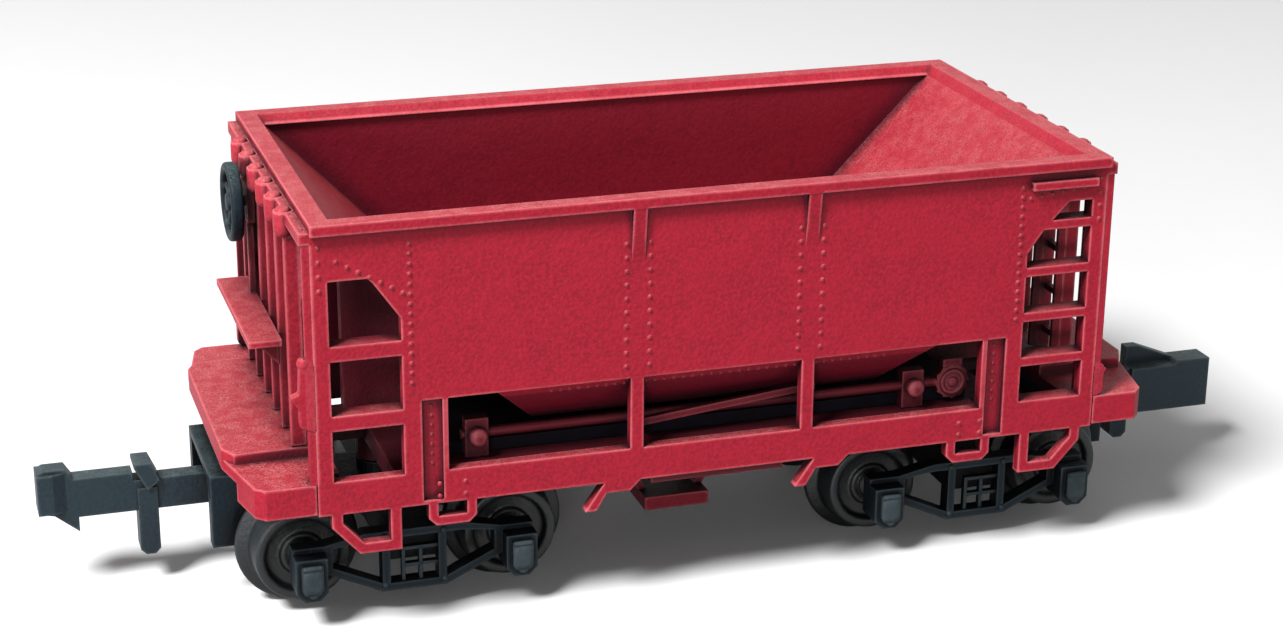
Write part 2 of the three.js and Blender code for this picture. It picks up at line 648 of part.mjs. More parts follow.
function nearSide() {
  const staples = [staple(-1, LEFT_STAPLE_PLACE), staple(1, RIGHT_STAPLE_PLACE)];
  const hangers = [hanger(-HANGER_PLACE), hanger(HANGER_PLACE - HANGER_LEAN)];
  const under = [step(-1), step(1), ...staples, ...hangers];
  return join([sidePlate(), ...channelWebs(), ...rungs(), ...treadBarLedges(), grabBar(), ...stakes(),
    ...under]);
}

// The +X end: corner angles, upright end posts with gussets, and a flange with a knob over each post
const endPostPlaces = () => Array.from({ length: END_POST_COUNT },
  (_, i) => (i - (END_POST_COUNT - 1) / 2) * END_POST_PITCH);

function endPost(y) {
  const across = [y - END_POST_THICKNESS / 2, y + END_POST_THICKNESS / 2];
  const inX = END_POST_X - END_POST_DEPTH;
  const post = block([inX, END_POST_X], across, [RAISED_DECK_TOP_Z + DECK_NOTCH_GAP, LIP_Z]);
  const slopeX = MOUTH_X - RIM_BEVEL + SLOPE_SHEET_THICKNESS;
  const run = END_POST_GUSSET / 2;
  const gusset = [[inX + WELD, LIP_Z], [slopeX, LIP_Z], [slopeX - run, LIP_Z - run],
    [inX + WELD, LIP_Z - END_POST_GUSSET]];
  return post.add(sideProfile(gusset, across));
}

// End ladder: rungs between the two posts nearest the side ladder
function endRungs() {
  const outX = END_POST_X - END_RUNG_SET_BACK;
  const [outerY, innerY] = endPostPlaces();
  return Array.from({ length: END_RUNG_COUNT }, (_, i) => {
    const foot = SILL_Z + FIRST_END_RUNG_HEIGHT + i * END_RUNG_PITCH;
    return block([outX - END_RUNG_THICKNESS, outX], [outerY, innerY], [foot, foot + END_RUNG_THICKNESS]);
  });
}

// Upright webs that carry the slope sheet, one on each side of the centre sill, deeper over the bolster
function slopeWebs() {
  const slopeRun = SLOPE_SHEET_THICKNESS * Math.SQRT2;
  const floorX = HOPPER_FLOOR_LENGTH / 2;
  const outX = floorX + SLOPE_WEB_LENGTH;
  const foot = RAISED_DECK_TOP_Z + DECK_NOTCH_GAP;
  const deepX = TRUCK_X - BODY_BOLSTER_WIDTH / 2 + SLOPE_WEB_GAP;
  const deepOutX = DECK_IN_X - SLOPE_WEB_GAP;
  const deepFoot = SILL_Z + BODY_BOLSTER_HEIGHT + SLOPE_WEB_GAP;
  const rise = (LIP_Z - FLOOR_BOTTOM_Z) / (MOUTH_X - RIM_BEVEL + slopeRun / 2 - floorX);
  const outline = [[floorX, foot], [deepX, foot], [deepX, deepFoot], [deepOutX, deepFoot], [deepOutX, foot],
    [outX, foot], [outX, FLOOR_BOTTOM_Z + SLOPE_WEB_LENGTH * rise], [floorX, FLOOR_BOTTOM_Z + WELD]];
  const inY = CENTRE_SILL_WIDTH / 2 + SLOPE_WEB_GAP;
  return [[inY, inY + SLOPE_WEB_THICKNESS],
    [-inY - SLOPE_WEB_THICKNESS, -inY]].map((across) => sideProfile(outline, across));
}

function cornerAngle(side) {
  const across = [side * SHEET_Y, side * (SHEET_Y - CORNER_POST_END_LEG)];
  return block([RIM_X - CORNER_POST_DEPTH, RIM_X], across, [SILL_Z, LIP_Z + WELD]);
}

function endFlange() {
  const heights = [LIP_Z - END_FLANGE_THICKNESS, LIP_Z + WELD];
  const outX = RIM_X + END_FLANGE_WIDTH;
  const plate = block([RIM_X - CORNER_POST_DEPTH, outX], [-SHEET_Y, SHEET_Y], heights);
  const knobHeights = [LIP_Z - END_KNOB_HEIGHT, LIP_Z + WELD];
  const knobs = endPostPlaces().map((y) => bar('z', END_KNOB_DIAMETER, knobHeights, [outX, y],
    SMALL_ROUND_STEPS));
  return join([plate, ...knobs]);
}

function endFrame() {
  const posts = endPostPlaces().map(endPost);
  return join([endFlange(), cornerAngle(-1), cornerAngle(1), ...posts, ...endRungs(), ...slopeWebs()]);
}

function hopperBody() {
  const side = nearSide();
  const end = endFrame();
  const shell = hopperOutside().subtract(block([-MOUTH_X, MOUTH_X], [-SHEET_IN_Y, SHEET_IN_Y],
    [LIP_Z, LIP_Z + OVERRUN]));
  return join([shell, rim(), side, halfTurn(side), end, halfTurn(end)]).subtract(hopperInside());
}

// Underframe: decks, bolsters, sills, ledges and the outlet between the trucks
function deck() {
  const notchY = SHEET_Y - CORNER_POST_END_LEG - DECK_NOTCH_GAP;
  const notchX = RIM_X + DECK_NOTCH_GAP;
  const cornerX = DECK_X - DECK_TAPER;
  const half = [[DECK_IN_X, notchY], [notchX, notchY], [notchX, SHEET_Y],
    [cornerX - DECK_CORNER_CUT, SHEET_Y],
    [cornerX, SHEET_Y - DECK_CORNER_CUT], [DECK_X, SHEET_Y - DECK_TAPER_LENGTH]];
  const outline = [...half, ...[...half].reverse().map(([x, y]) => [x, -y])];
  const raisedY = DECK_RAISED_WIDTH / 2;
  const raisedHalf = [[DECK_IN_X, raisedY], [DECK_X - DECK_CORNER_CUT, raisedY],
    [DECK_X, raisedY - DECK_CORNER_CUT * 2]];
  const raised = [...raisedHalf, ...[...raisedHalf].reverse().map(([x, y]) => [x, -y])];
  return plan(outline, [DECK_Z, DECK_TOP_Z]).add(plan(raised, [DECK_TOP_Z - WELD, RAISED_DECK_TOP_Z]));
}

function deckLips(side) {
  const heights = [SILL_Z + DECK_LIP_FOOT, DECK_Z + WELD];
  const notchX = RIM_X + DECK_NOTCH_GAP;
  const cornerX = DECK_X - DECK_TAPER;
  const inY = SHEET_Y - DECK_SIDE_LIP_THICKNESS;
  const outline = [[notchX, inY], [notchX, SHEET_Y], [cornerX - DECK_CORNER_CUT, SHEET_Y],
    [cornerX, SHEET_Y - DECK_CORNER_CUT],
    [cornerX + DECK_CORNER_CUT, SHEET_Y - DECK_END_LIP_LENGTH],
    [cornerX + DECK_CORNER_CUT - DECK_SIDE_LIP_THICKNESS, SHEET_Y - DECK_END_LIP_LENGTH],
    [cornerX - DECK_SIDE_LIP_THICKNESS, inY]];
  return plan(outline.map(([x, y]) => [x, side * y]), heights);
}

function draftSill() {
  const across = [-DRAFT_SILL_WIDTH / 2, DRAFT_SILL_WIDTH / 2];
  const inX = TRUCK_X + BODY_BOLSTER_WIDTH / 2 - WELD;
  const sill = block([inX, DECK_IN_X + DRAFT_SILL_HEIGHT], across, [SILL_Z, SILL_Z + DRAFT_SILL_HEIGHT]);
  return sill.add(block([DECK_IN_X, DECK_IN_X + DRAFT_SILL_HEIGHT], across, [SILL_Z, DECK_Z]));
}

function bodyBolster() {
  const bolster = block([TRUCK_X - BODY_BOLSTER_WIDTH / 2, TRUCK_X + BODY_BOLSTER_WIDTH / 2],
    [-UNDERFRAME_Y, UNDERFRAME_Y], [SILL_Z, SILL_Z + BODY_BOLSTER_HEIGHT]);
  const boss = bar('z', CENTRE_PLATE_DIAMETER, [BOSS_Z, SILL_Z + WELD], [TRUCK_X, 0]);
  const hole = bar('z', TRUCK_PIN_DIAMETER + 2 * TRUCK_PIN_GRIP_CLEARANCE,
    [BOSS_Z - OVERRUN, BOSS_Z + TRUCK_PIN_GRIP_LENGTH + OVERRUN], [TRUCK_X, 0]);
  return bolster.add(boss).subtract(hole);
}

function outlet() {
  const foot = SILL_Z - OUTLET_DROP;
  const topX = OUTLET_LENGTH / 2;
  const footX = OUTLET_BOTTOM_LENGTH / 2;
  const across = [-OUTLET_WIDTH / 2, OUTLET_WIDTH / 2];
  const plate = [[topX, SILL_Z], [topX - OUTLET_PLATE, SILL_Z], [footX - OUTLET_PLATE, foot], [footX, foot]];
  const doors = [1, -1].map((side) => sideProfile(plate.map(([x, z]) => [side * x, z]), across));
  const beam = block([-footX, footX], [-DOOR_BEAM_WIDTH / 2, DOOR_BEAM_WIDTH / 2],
    [foot - DOOR_BEAM_HEIGHT + WELD, foot + WELD]);
  const head = block([-topX, topX], across, [SILL_Z - OUTLET_HEAD_THICKNESS, SILL_Z]);
  return join([...doors, beam, head]);
}

function sideLedge() {
  const outX = TRUCK_X - BODY_BOLSTER_WIDTH / 2;
  const inY = UNDERFRAME_Y - SIDE_LEDGE_WIDTH;
  const ledge = block([-outX, outX], [inY, UNDERFRAME_Y], [LEDGE_Z, LEDGE_TOP_Z]);
  const beamY = UNDERFRAME_Y - NEEDLE_BEAM_THICKNESS;
  const beam = block([-NEEDLE_BEAM_LENGTH / 2, NEEDLE_BEAM_LENGTH / 2], [beamY, UNDERFRAME_Y],
    [SILL_Z - NEEDLE_BEAM_HEIGHT, LEDGE_Z + WELD]);
  return ledge.add(beam);
}

const endDeck = () => join([deck(), deckLips(-1), deckLips(1)]);

function underframe() {
  const end = join([draftSill(), bodyBolster()]);
  const sill = block([-TRUCK_X, TRUCK_X], [-CENTRE_SILL_WIDTH / 2, CENTRE_SILL_WIDTH / 2],
    [SILL_Z, SILL_Z + CENTRE_SILL_HEIGHT]);
  const pinHole = bar('z', TRUCK_PIN_DIAMETER + 2 * TRUCK_PIN_GRIP_CLEARANCE,
    [BOSS_Z, BOSS_Z + TRUCK_PIN_GRIP_LENGTH + OVERRUN], [TRUCK_X, 0]);
  return cut(join([sill, end, halfTurn(end)]), [pinHole, halfTurn(pinHole)]);
}

// Truck, drawn with its centre at the origin and its coupler towards +X
const SHANK_Z = AXLE_Z + SHANK_BOTTOM_RISE;
const SHANK_TOP_Z = SHANK_Z + SHANK_HEIGHT;
const POCKET_X = AXLE_X + WHEEL_TREAD_DIAMETER / 2 + POCKET_WHEEL_GAP + POCKET_DEPTH;
const PIVOT_X = POCKET_X - PIVOT_SET_BACK;
const POCKET_IN_X = POCKET_X - POCKET_LENGTH;
const POCKET_TOP_Z = AXLE_Z + POCKET_TOP_RISE;
const POCKET_ROOF_Z = POCKET_TOP_Z - POCKET_ROOF_THICKNESS;
const POCKET_FLOOR_Z = SHANK_Z - POCKET_WALL_DROP;

const BOX_IN_X = AXLE_X - JOURNAL_BOX_WIDTH / 2;
const BOX_OUT_X = AXLE_X + JOURNAL_BOX_WIDTH / 2;
const BOX_MIDDLE_Z = AXLE_Z - JOURNAL_BOX_DROP;
const BOX_FOOT_Z = BOX_MIDDLE_Z - JOURNAL_BOX_HEIGHT / 2;
const COLUMN_OUT_X = SPRING_WINDOW_WIDTH / 2 + SIDE_FRAME_COLUMN_WIDTH;
const SHOULDER_Z = FRAME_TOP_Z - SIDE_FRAME_SHOULDER_DROP;
const ARM_Z = AXLE_Z - SIDE_FRAME_ARM_DROP;

// The arms slope down from the journal boxes to the foot of the spring window
function sideFrameOutline() {
  const half = [[SPRING_WINDOW_WIDTH, FRAME_TOP_Z], [BOX_IN_X, SHOULDER_Z], [BOX_OUT_X, SHOULDER_Z],
    [BOX_OUT_X, BOX_MIDDLE_Z], [BOX_IN_X, ARM_Z], [COLUMN_OUT_X, FRAME_BOTTOM_Z]];
  return [...half, ...[...half].reverse().map(([x, z]) => [-x, z])];
}

function sideFrameTriangle(side) {
  const outX = BOX_IN_X - SIDE_FRAME_MEMBER;
  const slope = (ARM_Z - FRAME_BOTTOM_Z) / (BOX_IN_X - COLUMN_OUT_X);
  const arm = SIDE_FRAME_MEMBER * Math.hypot(1, slope);
  const armTop = (x) => FRAME_BOTTOM_Z + arm + slope * (x - COLUMN_OUT_X);
  const outline = [[COLUMN_OUT_X, FRAME_TOP_Z - SIDE_FRAME_MEMBER],
    [SPRING_WINDOW_WIDTH, FRAME_TOP_Z - SIDE_FRAME_MEMBER],
    [outX, SHOULDER_Z - SIDE_FRAME_MEMBER / 2], [outX, armTop(outX)], [COLUMN_OUT_X, armTop(COLUMN_OUT_X)]];
  return outline.map(([x, z]) => [side * x, z]);
}

const WINDOW_FOOT_Z = FRAME_BOTTOM_Z + SIDE_FRAME_MEMBER;
const WINDOW_TOP_Z = FRAME_TOP_Z - SIDE_FRAME_MEMBER;

function springWindow() {
  return rectangle([-SPRING_WINDOW_WIDTH / 2, SPRING_WINDOW_WIDTH / 2], [WINDOW_FOOT_Z, WINDOW_TOP_Z]);
}

// The springs are moulded as a grid of bars, set back in the window
function springGrid() {
  const outY = FRAME_OUT_Y - SPRING_GRID_RECESS;
  const across = [outY - SPRING_GRID_THICKNESS, outY];
  const top = WINDOW_TOP_Z - SPRING_GRID_TOP_DROP;
  const left = -SPRING_WINDOW_WIDTH / 2 - WELD;
  const middleZ = (WINDOW_FOOT_Z + top) / 2;
  const upright = (x) => block([x - SPRING_GRID_BAR / 2, x + SPRING_GRID_BAR / 2], across,
    [WINDOW_FOOT_Z - WELD, top]);
  const level = (z) => block([left, SPRING_GRID_REACH], across, [z - SPRING_GRID_BAR, z]);
  return [upright(SPRING_GRID_REACH), upright(-SPRING_GRID_MIDDLE), level(top), level(middleZ)];
}

function journal(x) {
  const faceY = FRAME_OUT_Y + JOURNAL_BOX_PROUD;
  const box = sideProfile(boxOutline(x, 0), [FRAME_IN_Y, faceY]);
  const lid = sideProfile(boxOutline(x, JOURNAL_LID_BORDER), [faceY - WELD, faceY + JOURNAL_LID_PROUD]);
  return box.add(lid);
}

// A journal box seen from the side, with its lower corners cut, drawn smaller by a border
function boxOutline(x, border) {
  const half = JOURNAL_BOX_WIDTH / 2 - border;
  const foot = BOX_FOOT_Z + border;
  const top = BOX_MIDDLE_Z + JOURNAL_BOX_HEIGHT / 2 - border;
  const corner = JOURNAL_BOX_CORNER;
  return [[x - half, top], [x - half, foot + corner], [x - half + corner, foot], [x + half - corner, foot],
    [x + half, foot + corner], [x + half, top]];
}

const AXLE_SHOULDER_Y = WHEEL_FACE_Y + AXLE_SHOULDER;
const AXLE_TIP_Y = AXLE_SHOULDER_Y + AXLE_POINT_LENGTH;

// The cone that an axle point turns in
function journalCup(x) {
  const slope = (AXLE_DIAMETER - AXLE_POINT_DIAMETER) / 2 / AXLE_POINT_LENGTH;
  const mouthY = FRAME_IN_Y - OVERRUN;
  const mouthRadius = AXLE_DIAMETER / 2 - slope * (mouthY - AXLE_SHOULDER_Y) + JOURNAL_CLEARANCE;
  const endY = AXLE_TIP_Y + JOURNAL_CLEARANCE;
  const endRadius = AXLE_POINT_DIAMETER / 2 + JOURNAL_CLEARANCE;
  const cone = turnedAboutY([[0, mouthY], [mouthRadius, mouthY], [endRadius, endY], [0, endY]],
    SMALL_ROUND_STEPS);
  return placed(cone, x, 0, AXLE_Z);
}

function truckSide() {
  const holes = [springWindow(), sideFrameTriangle(1), sideFrameTriangle(-1)];
  const plate = sideProfile(sideFrameOutline(), [FRAME_IN_Y, FRAME_OUT_Y], holes);
  const ends = [-AXLE_X, AXLE_X];
  return cut(join([plate, ...springGrid(), ...ends.map(journal)]), ends.map(journalCup));
}

function pocket() {
  const outY = POCKET_WIDTH / 2;
  const inY = outY - POCKET_WALL;
  const along = [POCKET_IN_X, POCKET_X];
  const walls = [-1, 1].flatMap((side) => [
    block(along, [side * inY, side * outY], [POCKET_FLOOR_Z, POCKET_TOP_Z]),
    block([POCKET_X - POCKET_DEPTH, POCKET_X], [side * inY, side * outY],
      [AXLE_Z - POCKET_LEG_DROP, POCKET_TOP_Z]),
  ]);
  const roof = block(along, [-outY, outY], [POCKET_ROOF_Z, POCKET_TOP_Z]);
  const back = block([POCKET_IN_X, POCKET_IN_X + POCKET_BACK_THICKNESS], [-outY, outY],
    [POCKET_FLOOR_Z, POCKET_TOP_Z]);
  const pivot = bar('z', PIVOT_DIAMETER, [SHANK_Z - POCKET_COVER_GAP, POCKET_ROOF_Z + WELD], [PIVOT_X, 0],
    SMALL_ROUND_STEPS);
  return join([...walls, roof, back, pivot]);
}

function tongue() {
  const foot = AXLE_Z + AXLE_DIAMETER / 2 + TONGUE_AXLE_CLEARANCE;
  const across = [-TONGUE_WIDTH / 2, TONGUE_WIDTH / 2];
  const strap = block([0, POCKET_IN_X + WELD], across, [foot, foot + TONGUE_THICKNESS]);
  const root = block([0, BOLSTER_WIDTH / 2], across,
    [FRAME_TOP_Z - TONGUE_THICKNESS, foot + TONGUE_THICKNESS]);
  return strap.add(root);
}

function truckFrame() {
  const side = truckSide();
  const bolster = block([-BOLSTER_WIDTH / 2, BOLSTER_WIDTH / 2], [-FRAME_IN_Y - WELD, FRAME_IN_Y + WELD],
    [FRAME_TOP_Z - BOLSTER_HEIGHT, FRAME_TOP_Z]);
  const plate = bar('z', CENTRE_PLATE_DIAMETER, [FRAME_TOP_Z - WELD, CENTRE_PLATE_Z], [0, 0]);
  const pinHole = bar('z', TRUCK_PIN_DIAMETER + 2 * TRUCK_PIN_CLEARANCE,
    [FRAME_BOTTOM_Z, CENTRE_PLATE_Z + OVERRUN], [0, 0]);
  return join([bolster, plate, side, halfTurn(side), tongue(), pocket()]).subtract(pinHole);
}

function truckPin() {
  const headTop = FRAME_TOP_Z - BOLSTER_HEIGHT - TRUCK_PIN_CLEARANCE;
  const shaft = bar('z', TRUCK_PIN_DIAMETER, [headTop - WELD, BOSS_Z + TRUCK_PIN_GRIP_LENGTH], [0, 0]);
  return shaft.add(bar('z', TRUCK_PIN_HEAD_DIAMETER, [headTop - TRUCK_PIN_HEAD_THICKNESS, headTop], [0, 0]));
}

function pocketCover() {
  const top = SHANK_Z - POCKET_COVER_DROP;
  const halfY = POCKET_WIDTH / 2 - POCKET_WALL - POCKET_COVER_GAP;
  const inX = POCKET_IN_X + POCKET_BACK_THICKNESS + POCKET_COVER_GAP;
  return block([inX, inX + POCKET_COVER_LENGTH], [-halfY, halfY], [top - POCKET_COVER_THICKNESS, top]);
}

// Couplers, drawn in the truck's place: a shank on a pivot, a head, and a trip pin below
const COUPLER_FRONT_X = POCKET_X + COUPLER_REACH;
const SHANK_REAR_X = PIVOT_X - SHANK_TAIL_LENGTH;
const CHIN_Z = SHANK_Z + HOOK_NOSE_TAPER;
const NOSE_TOP_Z = SHANK_TOP_Z + HOOK_NOSE_RISE;
const TRIP_X = COUPLER_FRONT_X - TRIP_POST_SET_BACK;

function hookShank() {
  const front = COUPLER_FRONT_X;
  const headTop = SHANK_TOP_Z + HOOK_HEAD_HEIGHT_EXTRA;
  const headIn = front - HOOK_HEAD_LENGTH;
  const toothX = front - HOOK_LENGTH - HOOK_NOSE_TAPER / 2;
  const throatX = front - HOOK_LENGTH + HOOK_NOSE_TAPER;
  const under = [[SHANK_REAR_X, SHANK_Z], [toothX, SHANK_Z], [toothX, SHANK_Z - HOOK_TOOTH_DROP],
    [front - HOOK_TOOTH_SET_BACK, CHIN_Z - HOOK_NOSE_TAPER / 2], [front, CHIN_Z]];
  const over = [[front, NOSE_TOP_Z - HOOK_NOSE_TAPER / 2], [front - HOOK_NOSE_TAPER, NOSE_TOP_Z],
    [throatX, NOSE_TOP_Z], [front - HOOK_LENGTH, headTop], [headIn, headTop], [headIn, SHANK_TOP_Z],
    [SHANK_REAR_X, SHANK_TOP_Z]];
  return sideProfile([...under, ...over], [-SHANK_WIDTH / 2, SHANK_WIDTH / 2]);
}

function hookNose() {
  const front = COUPLER_FRONT_X;
  const throatX = front - HOOK_LENGTH + HOOK_NOSE_TAPER;
  const half = [[throatX, SHANK_WIDTH / 2], [front - HOOK_TOOTH_SET_BACK, HOOK_HEAD_WIDTH / 2],
    [front, HOOK_HEAD_WIDTH / 2]];
  const outline = [...half, ...[...half].reverse().map(([x, y]) => [x, -y])];
  return plan(outline, [CHIN_Z, NOSE_TOP_Z - HOOK_NOSE_TAPER / 2]);
}

function tripPost() {
  const outX = TRIP_X + TRIP_POST_LENGTH / 2;
  const inX = TRIP_X - TRIP_POST_LENGTH / 2;
  const top = SHANK_TOP_Z + TRIP_POST_RISE;
  const outline = [[outX, top], [outX - TRIP_POST_TOP_LENGTH, top], [inX, SHANK_TOP_Z],
    [TRIP_X, SHANK_TOP_Z - TRIP_POST_TIP_DROP], [outX, top - TRIP_POST_EDGE]];
  return sideProfile(outline, [-TRIP_POST_WIDTH / 2, TRIP_POST_WIDTH / 2]);
}

function tripPin() {
  const half = TRIP_PIN_LENGTH / 2;
  const foot = SHANK_Z - TRIP_PIN_DROP;
  const top = SHANK_TOP_Z - TRIP_POST_TIP_DROP + WELD;
  const outline = [[TRIP_X - half, top], [TRIP_X - half, foot + TRIP_PIN_CORNER],
    [TRIP_X - half + TRIP_PIN_CORNER, foot],
    [TRIP_X + half - TRIP_PIN_CORNER, foot], [TRIP_X + half, foot + TRIP_PIN_CORNER], [TRIP_X + half, top]];
  return sideProfile(outline, [-TRIP_PIN_WIDTH / 2, TRIP_PIN_WIDTH / 2]);
}

function pivoted(parts) {
  const eye = bar('z', SHANK_EYE_DIAMETER, [SHANK_Z, SHANK_TOP_Z], [PIVOT_X, 0], SMALL_ROUND_STEPS);
  const through = [SHANK_Z - OVERRUN, SHANK_TOP_Z + OVERRUN];
  const hole = bar('z', PIVOT_DIAMETER + 2 * PIVOT_PLAY, through, [PIVOT_X, 0], SMALL_ROUND_STEPS);
  return join([eye, ...parts]).subtract(hole);
}

const hookCoupler = () => pivoted([hookShank(), hookNose(), tripPost(), tripPin()]);

// The latch coupler has a deep head with a raised latch on one half of its width
function latchCoupler() {
  const front = COUPLER_FRONT_X;
  const headIn = front - LATCH_HEAD_LENGTH;
  const faceIn = front - LATCH_FACE_LENGTH;
  const foot = SHANK_Z - LATCH_HEAD_DROP;
  const faceTop = SHANK_TOP_Z + LATCH_FACE_RISE;
  const top = SHANK_TOP_Z + LATCH_RISE;
  const halfY = LATCH_HEAD_WIDTH / 2;
  const across = [-SHANK_WIDTH / 2, SHANK_WIDTH / 2];
  const shank = block([SHANK_REAR_X, headIn + WELD], across, [SHANK_Z, SHANK_TOP_Z]);
  const headOutline = [[headIn, foot], [front, foot], [front, faceTop], [faceIn, faceTop],
    [faceIn - LATCH_FACE_RISE, SHANK_TOP_Z], [headIn, SHANK_TOP_Z]];
  const latchOutline = [[headIn, SHANK_TOP_Z - WELD], [faceIn, SHANK_TOP_Z - WELD], [faceIn, faceTop],
    [headIn + LATCH_TOP_LENGTH, top], [headIn, top]];
  const head = sideProfile(headOutline, [-halfY, halfY]);
  return pivoted([shank, head, sideProfile(latchOutline, [halfY - LATCH_THICKNESS, halfY]), tripPin()]);
}

function couplerSpring() {
  const outer = COUPLER_SPRING_DIAMETER / 2;
  const from = POCKET_IN_X + POCKET_BACK_THICKNESS + COUPLER_SPRING_GAP;
  const middleZ = (SHANK_Z + SHANK_TOP_Z) / 2;
  const sleeve = bar('x', outer * 2, [from, from + COUPLER_SPRING_LENGTH], [0, middleZ], SMALL_ROUND_STEPS);
  const bore = bar('x', (outer - COUPLER_SPRING_WIRE) * 2,
    [from - OVERRUN, from + COUPLER_SPRING_LENGTH + OVERRUN], [0, middleZ], SMALL_ROUND_STEPS);
  return sleeve.subtract(bore);
}

// Wheelset: a pointed steel axle and two flanged wheels
function wheel() {
  const bore = AXLE_DIAMETER / 2 + WHEEL_BORE_CLEARANCE;
  const tread = WHEEL_TREAD_DIAMETER / 2;
  const flange = tread + FLANGE_DEPTH;
  const lean = (FLANGE_THICKNESS - FLANGE_TIP_THICKNESS) / 2;
  const rimIn = tread - WHEEL_RIM_THICKNESS;
  const hub = WHEEL_HUB_DIAMETER / 2;
  const webY = WHEEL_FACE_Y - WHEEL_WEB_RECESS;
  const hubY = WHEEL_FACE_Y - WHEEL_WEB_RECESS / 2;
  return turnedAboutY([[bore, FLANGE_Y], [flange - lean, FLANGE_Y], [flange, FLANGE_Y + lean],
    [flange, FLANGE_Y + lean + FLANGE_TIP_THICKNESS], [tread, TREAD_Y], [tread - TREAD_TAPER, WHEEL_FACE_Y],
    [rimIn, WHEEL_FACE_Y], [rimIn - TREAD_TAPER, webY], [hub, webY], [hub - TREAD_TAPER, hubY],
      [bore, hubY], [bore, FLANGE_Y]]);
}

function axle() {
  const radius = AXLE_DIAMETER / 2;
  const point = AXLE_POINT_DIAMETER / 2;
  return turnedAboutY([[0, -AXLE_TIP_Y], [point, -AXLE_TIP_Y], [radius, -AXLE_SHOULDER_Y],
    [radius, AXLE_SHOULDER_Y],
    [point, AXLE_TIP_Y], [0, AXLE_TIP_Y]]);
}

function wheelset(name, x) {
  const group = new THREE.Group();
  group.add(node(`${name}_axle`, axle(), steel()));
  group.add(node(`${name}_near_wheel`, halfTurn(wheel()), wheelPlastic()));
  group.add(node(`${name}_far_wheel`, wheel(), wheelPlastic()));
  group.position.set(x, 0, AXLE_Z);
  return group;
}

function truck(end, side, coupler) {
  const group = new THREE.Group();
  group.add(node(`${end}_truck_frame`, truckFrame(), blackPlastic()));
  group.add(node(`${end}_truck_pin`, truckPin(), blackPlastic()));
  group.add(node(`${end}_pocket_cover`, pocketCover(), blackPlastic()));
  group.add(node(`${end}_coupler`, coupler, blackPlastic()));
  group.add(node(`${end}_coupler_spring`, couplerSpring(), steel()));
  group.add(wheelset(`${end}_inner`, -AXLE_X));
  group.add(wheelset(`${end}_outer`, AXLE_X));
  group.position.x = side * TRUCK_X;
  if (side < 0) group.rotation.z = Math.PI;
  return group;
}

// Door gear on a side ledge: two bearings, the shaft between them, a ratchet with its pawl, and a slanted
// strap
function doorGear() {
  const middleY = -UNDERFRAME_Y + GEAR_SET_IN;
  const foot = LEDGE_TOP_Z + GEAR_SEAT_GAP;
  const shaftZ = foot + DOOR_SHAFT_RISE;
  const halfY = BEARING_THICKNESS / 2;
  const bearings = [-LEFT_BEARING_PLACE, RIGHT_BEARING_PLACE].flatMap((x) => {
    return [
      block([x - BEARING_LENGTH / 2, x + BEARING_LENGTH / 2], [middleY - halfY, middleY + halfY],
        [foot, foot + BEARING_HEIGHT]),
      bar('y', BEARING_PIN_DIAMETER, [middleY - halfY - BEARING_PIN_LENGTH, middleY], [x, shaftZ],
        SMALL_ROUND_STEPS),
    ];
  });
  const shaftEnds = [-LEFT_BEARING_PLACE - DOOR_SHAFT_STUB, RATCHET_PLACE + DOOR_SHAFT_STUB];
  const shaft = bar('x', DOOR_SHAFT_DIAMETER, shaftEnds, [middleY, shaftZ], SMALL_ROUND_STEPS);
  const ratchet = bar('y', RATCHET_DIAMETER,
    [middleY - RATCHET_THICKNESS / 2, middleY + RATCHET_THICKNESS / 2],
    [RATCHET_PLACE, shaftZ], SMALL_ROUND_STEPS);
  const pawl = block([RATCHET_PLACE - PAWL_LENGTH / 2, RATCHET_PLACE + PAWL_LENGTH / 2],
    [middleY - RATCHET_THICKNESS / 2, middleY + RATCHET_THICKNESS / 2],
    [shaftZ + RATCHET_DIAMETER / 2 - WELD, shaftZ + RATCHET_DIAMETER / 2 + PAWL_WIDTH]);
  return join([...bearings, shaft, ratchet, pawl, ...strap(middleY, foot)]);
}

// A flat strap that rises to the right, held off the shaft by two lugs
function strap(middleY, foot) {
  const shaftZ = foot + DOOR_SHAFT_RISE;
  const inY = middleY - DOOR_SHAFT_DIAMETER / 2 - STRAP_SHAFT_GAP;
  const low = foot + STRAP_START_RISE;
  const high = foot + STRAP_END_RISE;
  const outline = [[-STRAP_START, low], [STRAP_END, high], [STRAP_END, high + STRAP_WIDTH],
    [-STRAP_START, low + STRAP_WIDTH]];
  const across = [inY - STRAP_THICKNESS / 2, middleY];
  return [
    sideProfile(outline, [inY - STRAP_THICKNESS, inY]),
    block([STRAP_LUG - STRAP_START, 2 * STRAP_LUG - STRAP_START], across, [shaftZ - STRAP_LUG / 2, shaftZ]),
    block([STRAP_END - 2 * STRAP_LUG, STRAP_END - STRAP_LUG], across, [shaftZ, high + STRAP_WIDTH / 2]),
  ];
}

